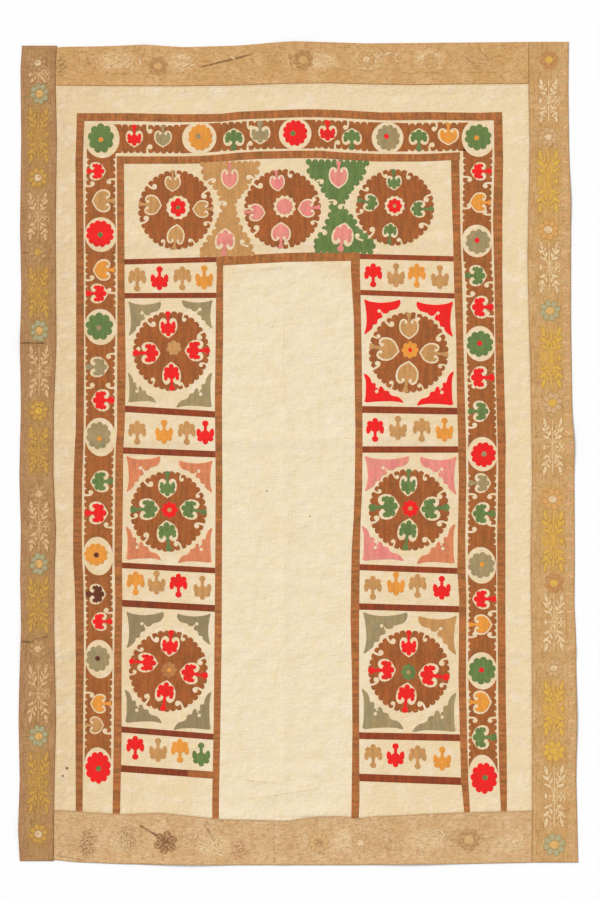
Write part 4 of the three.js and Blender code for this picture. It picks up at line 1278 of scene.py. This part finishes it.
def lance(x, y, turn, long, wide):
    """A narrow leaf from its foot."""
    half = [(0, 0), (wide * 0.36, long * 0.25), (wide * 0.5, long * 0.5), (wide * 0.3, long * 0.8), (0, long)]
    return put(half + [(-u, v) for u, v in half[-2:0:-1]], x, y, turn)


def round_flower(thread, eye, rim, x, y, petals, wide, tall):
    """Small round petals about an eye. Each petal and the eye lie in a darker rim, partly their stitched
    outline and partly painted shadow.
    """
    rims, fills = [], []
    size = (wide + tall) / 2
    fat = size * min(0.3, 2.0 / petals)
    for i in range(petals):
        angle = 2 * math.pi * (i + 0.3) / petals
        middle = x + 0.68 * wide * math.cos(angle), y + 0.68 * tall * math.sin(angle)
        rims.append((rim, oval(*middle, 0.3 * size + 2.2, fat + 2.2, angle)))
        fills.append((thread, oval(*middle, 0.3 * size, fat, angle)))
    fills.append((rim, oval(x, y, wide * 0.42 + 1.5, tall * 0.36 + 1.5)))
    fills.append((eye, oval(x, y, wide * 0.42, tall * 0.36)))
    return rims + fills


# A branch of a spray: out from the stem, and its share of the half height.
BRANCH = ((1, 0.06), (7, 0.24), (12.5, 0.44), (17, 0.62))
# A quarter of a spray's leaves: foot from the stem, its share of the half height, lean, length and width.
QUARTER = [(17, 0.6, 0.22, 0.38, 10), (15, 0.54, -0.5, 0.22, 6.4), (12.5, 0.44, 0.78, 0.31, 9.6),
           (9, 0.34, -0.2, 0.24, 7.4), (7, 0.26, 1.12, 0.28, 9.2)]


def spray(thread, rim, x, y, tall, hand):
    """A stem with four leafy branches, a sprig on one side of its middle and two curls on the other. Each
    leaf lies on a wider darker rim, partly its stitched outline and partly painted shadow.
    """
    half = tall / 2
    rims, fills = [], []

    def leaf(foot_x, foot_y, turn, long, wide):
        rims.append((rim, lance(foot_x, foot_y, turn, long + 2.5, wide + 3.6)))
        fills.append((thread, lance(foot_x, foot_y, turn, long, wide)))

    def stem(path, start, stop):
        fills.append((thread, stroke(path, start, stop)))

    stem([(x, y - 0.9 * half), (x + 1, y), (x, y + 0.9 * half)], 2.6, 2.6)
    for up in (-1, 1):
        for way in (-1, 1):
            stem([(x + way * out, y + up * share * half) for out, share in BRANCH], 2.8, 2.4)
            for out, share, lean, long, wide in QUARTER:
                turn = (0.0 if up > 0 else math.pi) - way * up * lean
                leaf(x + way * out, y + up * share * half, turn, long * half, wide)
    stem([(x, y), (x + hand * 10, y + 1), (x + hand * 20, y)], 2.6, 2.4)
    for lean in (-0.9, 0.0, 0.9):
        leaf(x + hand * 18, y, -hand * math.pi / 2 + lean, 11, 5.6)
    stem([(x, y), (x - hand * 12, y - 1), (x - hand * 27, y)], 2.4, 2.2)
    for up in (-1, 1):
        for out, radius in ((13, 5.5), (24, 5)):
            stem(oval(x - hand * out, y + up * (radius + 2), radius, radius, up * math.pi / 2, 11), 2.8, 2.2)
    return rims + fills


def worn_work(side, shapes):
    """Sews shapes on one of the strips. Each is a dye and an outline."""
    threads = [((tone, side), outline) for tone, outline in shapes]
    return sew(f"{side}_work", threads, STRIP_THICK, WORN_RISE, WORN_CELL, worn_silk)


# Flowers: x, y, petals' thread, eye, half width and half height. Sprays: y, thread, height.
LEFT_FLOWERS = [
    (-687, 1030, "ghost", "cream", 22, 24), (-683, 949, "teal", "peach", 25, 29),
    (-687, 727, "ochre", "cream", 25, 28), (-687, 531, "ghost", "ochre", 24, 27),
    (-683, 323, "teal", "peach", 24, 30), (-685, 112, "ochre", "yellow", 25, 29),
    (-685, -107, "ghost", "chalk", 24, 27), (-684, -292, "teal", "peach", 24, 31),
    (-687, -517, "ghost", "chalk", 24, 27), (-685, -746, "teal", "peach", 25, 30),
    (-685, -1005, "ochre", "cream", 25, 28)]
LEFT_SPRAYS = [(1000, "chalk", 50), (840, "ochre", 158), (625, "chalk", 135), (425, "ochre", 145),
               (216, "chalk", 145), (9, "ochre", 132), (-192, "chalk", 142), (-400, "ochre", 158),
               (-634, "chalk", 166), (-869, "ochre", 172)]
RIGHT_FLOWERS = [
    (662, 1038, "rust", "yellow", 25, 26), (660, 835, "faint", "cream", 26, 26),
    (660, 590, "amber", "cream", 28, 27), (665, 376, "teal", "peach", 28, 28),
    (671, 133, "faint", "yellow", 27, 30), (672, -121, "amber", "cream", 29, 29),
    (675, -343, "rust", "yellow", 25, 28), (675, -567, "faint", "cream", 24, 24),
    (675, -786, "yellow", "yellow", 30, 28), (676, -1033, "teal", "peach", 30, 31)]
RIGHT_SPRAYS = [(931, "white", 124), (718, "yellow", 177), (491, "white", 145), (253, "yellow", 172),
                (17, "white", 160), (-232, "yellow", 172), (-446, "white", 165), (-674, "yellow", 155),
                (-905, "white", 175)]
# The pale chain: its first link, how many, their pitch and dyes, and how far in from the strip's edge.
CHAIN_FROM = -1056
CHAIN_LINKS = 222
CHAIN_PITCH = 9.5
CHAIN_DYES = ("faint", "blush", "chalk", "blush", "sage")
CHAIN_INSET = 13
SCROLL = [(-8, -2.2), (-5, 1.2), (-1, 2.4), (1.5, -0.4), (5, -2), (8, 1.8)]
strip_work = []
for side, flowers, sprays in (("left", LEFT_FLOWERS, LEFT_SPRAYS), ("right", RIGHT_FLOWERS, RIGHT_SPRAYS)):
    shapes = []
    middle = [(row[1], row[0]) for row in flowers[::-1]]
    # The darker rims under leaves and petals are partly their stitched outlines and partly painted shadow.
    for number, (y, tone, tall) in enumerate(sprays):
        rim = "olive" if tone in ("yellow", "ochre") else "shade"
        shapes += spray(tone, rim, between(middle, y, 1), y, tall, 1 if number % 2 else -1)
    for x, y, tone, eye, wide, tall in flowers:
        shapes += round_flower(tone, eye, "moss" if tone == "teal" else "shade", x, y, 8, wide, tall)
    for i in range(CHAIN_LINKS if side == "right" else 0):
        y = CHAIN_FROM + CHAIN_PITCH * i
        x = between(RIGHT_STRIP, y, 2) - CHAIN_INSET + 1.5 * math.sin(i * 2.3)
        size = 0.9 + 0.18 * math.sin(i * 2.9)
        link = put(SCROLL, x, y + 1.5 * math.sin(i * 3.7), 0.5 * math.sin(i * 1.7), size, size)
        shapes.append((CHAIN_DYES[i % len(CHAIN_DYES)], stroke(link, 5, 4)))
    strip_work.append(worn_work(side, shapes))

# The end strips' worn flowers: a few round ones in dull thread, and stray white leaves about them.
# The thread is thin and rubbed, as on the side strips. Flowers: x, y, petals' thread, eye, petals and radius.
TOP_FLOWERS = [(13, 1038, "dun", "gold", 8, 27), (-370, 1022, "dun", "gold", 7, 25),
               (180, 1040, "ghost", "cream", 8, 22), (350, 1034, "ghost", "gold", 6, 20)]
BOTTOM_FLOWERS = [(-350, -1027, "earth", "dun_dark", 6, 30), (55, -1029, "gold", "dun", 10, 27),
                  (451, -1020, "dun", "gold", 8, 30), (165, -1028, "ghost", "cream", 8, 24)]
# White leaves: foot x and y, which way they point, and length.
TOP_LEAVES = [(-500, 1021, -1.0, 30), (-478, 1033, -1.1, 26), (-508, 1010, -0.9, 22), (-452, 1030, -0.7, 20),
              (-420, 1046, -2.9, 26), (-462, 1016, -1.2, 24), (-316, 1016, -1.15, 40), (-300, 1034, -0.9, 24),
              (-290, 1020, -1.2, 24), (50, 1030, 0.9, 26), (72, 1040, 0.6, 24), (84, 1030, 1.2, 26),
              (205, 1040, -0.8, 26), (225, 1052, -1.3, 26), (248, 1044, -1.0, 30), (262, 1030, 0.4, 22),
              (-165, 1040, 1.1, 20), (330, 1056, 1.2, 22)]
BOTTOM_LEAVES = [(-218, -1050, 0.88, 36), (-202, -1055, 0.93, 38), (-192, -1065, 1.15, 34),
                 (-200, -1050, 0.33, 26), (-240, -1042, 1.3, 30), (-276, -1020, -0.5, 24),
                 (-262, -1050, -0.9, 26), (372, -1030, -0.5, 32), (352, -1000, -1.2, 30),
                 (390, -1012, 0.7, 26), (566, -1044, 0.6, 30), (550, -1030, 1.1, 26),
                 (585, -1030, -0.4, 26), (320, -1020, 0.5, 22), (-500, -1022, 0.9, 24),
                 (-520, -1040, 1.2, 22)]
# A dark stroke across the bottom strip's dark flower.
DARK_STROKE = [(-418, -983), (-370, -1008), (-323, -1037)]
end_work = []
for side, flowers, leaves in (("top", TOP_FLOWERS, TOP_LEAVES), ("bottom", BOTTOM_FLOWERS, BOTTOM_LEAVES)):
    shapes = []
    # Leaves and flowers sit on darker rims in the shade dye, partly their stitched outlines and partly
    # painted shadow; the dark flower's rim is its own dark thread.
    for number, (x, y, turn, long) in enumerate(leaves):
        shapes.append(("shade", lance(x, y, turn, long + 2, 8.4)))
        shapes.append(("cream" if number % 3 else "white", lance(x, y, turn, long, 5.8)))
    for x, y, tone, eye, petals, radius in flowers:
        rim = "dun_dark" if eye == "dun_dark" else "shade"
        shapes += round_flower(tone, eye, rim, x, y, petals, radius, radius)
    if side == "bottom":
        shapes.append(("dun_dark", stroke(DARK_STROKE, 3.4, 4.4)))
    end_work.append(worn_work(side, shapes))

# Each strip's mean width and, for the side strips, its length are worked out in metres, and its stitching is
# made a list; nothing is done with them.
# The cloth is laid out flat, so a sheet's flat size is its size here.
for strip, rows, work in zip(side_strips, (LEFT_STRIP, RIGHT_STRIP), strip_work):
    wide = sum(row[2] - row[1] for row in rows) / len(rows) * MM
    (rows[-1][0] - rows[0][0]) * MM
    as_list(work)
for strip, rows, work in zip(end_strips, (TOP_STRIP, BOTTOM_STRIP), end_work):
    tall = sum(row[2] - row[1] for row in rows) / len(rows) * MM
    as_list(work)

# The studio: a near-white floor, an even sky and one broad soft light from the top left.
# The floor lies half a millimetre under the cloth. Its size, and the light's place, are in metres.
FLOOR_HALF = 6
FLOOR_DROP = 0.5
SKY = 0.6
SUN = 2.3
SUN_PLACE = (-2.6, 3.0, 3.0)
paint = bpy.data.materials.new("floor")
paint.use_nodes = True
paint.node_tree.nodes["Principled BSDF"].inputs["Base Color"].default_value = (0.95, 0.95, 0.95, 1)
paint.node_tree.nodes["Principled BSDF"].inputs["Roughness"].default_value = 0.9
corners = [(x * FLOOR_HALF / MM, y * FLOOR_HALF / MM, -FLOOR_DROP)
           for x, y in ((-1, -1), (1, -1), (1, 1), (-1, 1))]
floor = solid("floor", corners, [(0, 1, 2, 3)], paint)
world = bpy.data.worlds.new("studio")
world.use_nodes = True
world.node_tree.nodes["Background"].inputs["Color"].default_value = (1, 1, 1, 1)
world.node_tree.nodes["Background"].inputs["Strength"].default_value = SKY
bpy.context.scene.world = world
lamp = bpy.data.lights.new("window", "SUN")
lamp.angle = math.radians(24)
lamp.energy = SUN
window = bpy.data.objects.new("window", lamp)
window.location = SUN_PLACE
window.rotation_euler = Vector(SUN_PLACE).to_track_quat("Z", "Y").to_euler()
bpy.context.scene.collection.objects.link(window)
bpy.context.scene.view_settings.view_transform = "Standard"

# The camera hangs straight over the cloth, as the photograph was taken.
# Its place is in metres, a few millimetres off the middle.
CAMERA_HIGH = 5.61
camera_data = bpy.data.cameras.new("camera")
camera_data.lens = 85
camera_data.sensor_width = 36
camera = bpy.data.objects.new("camera", camera_data)
camera.location = (0.0049, 0.0087, CAMERA_HIGH)
bpy.context.scene.collection.objects.link(camera)
bpy.context.scene.camera = camera
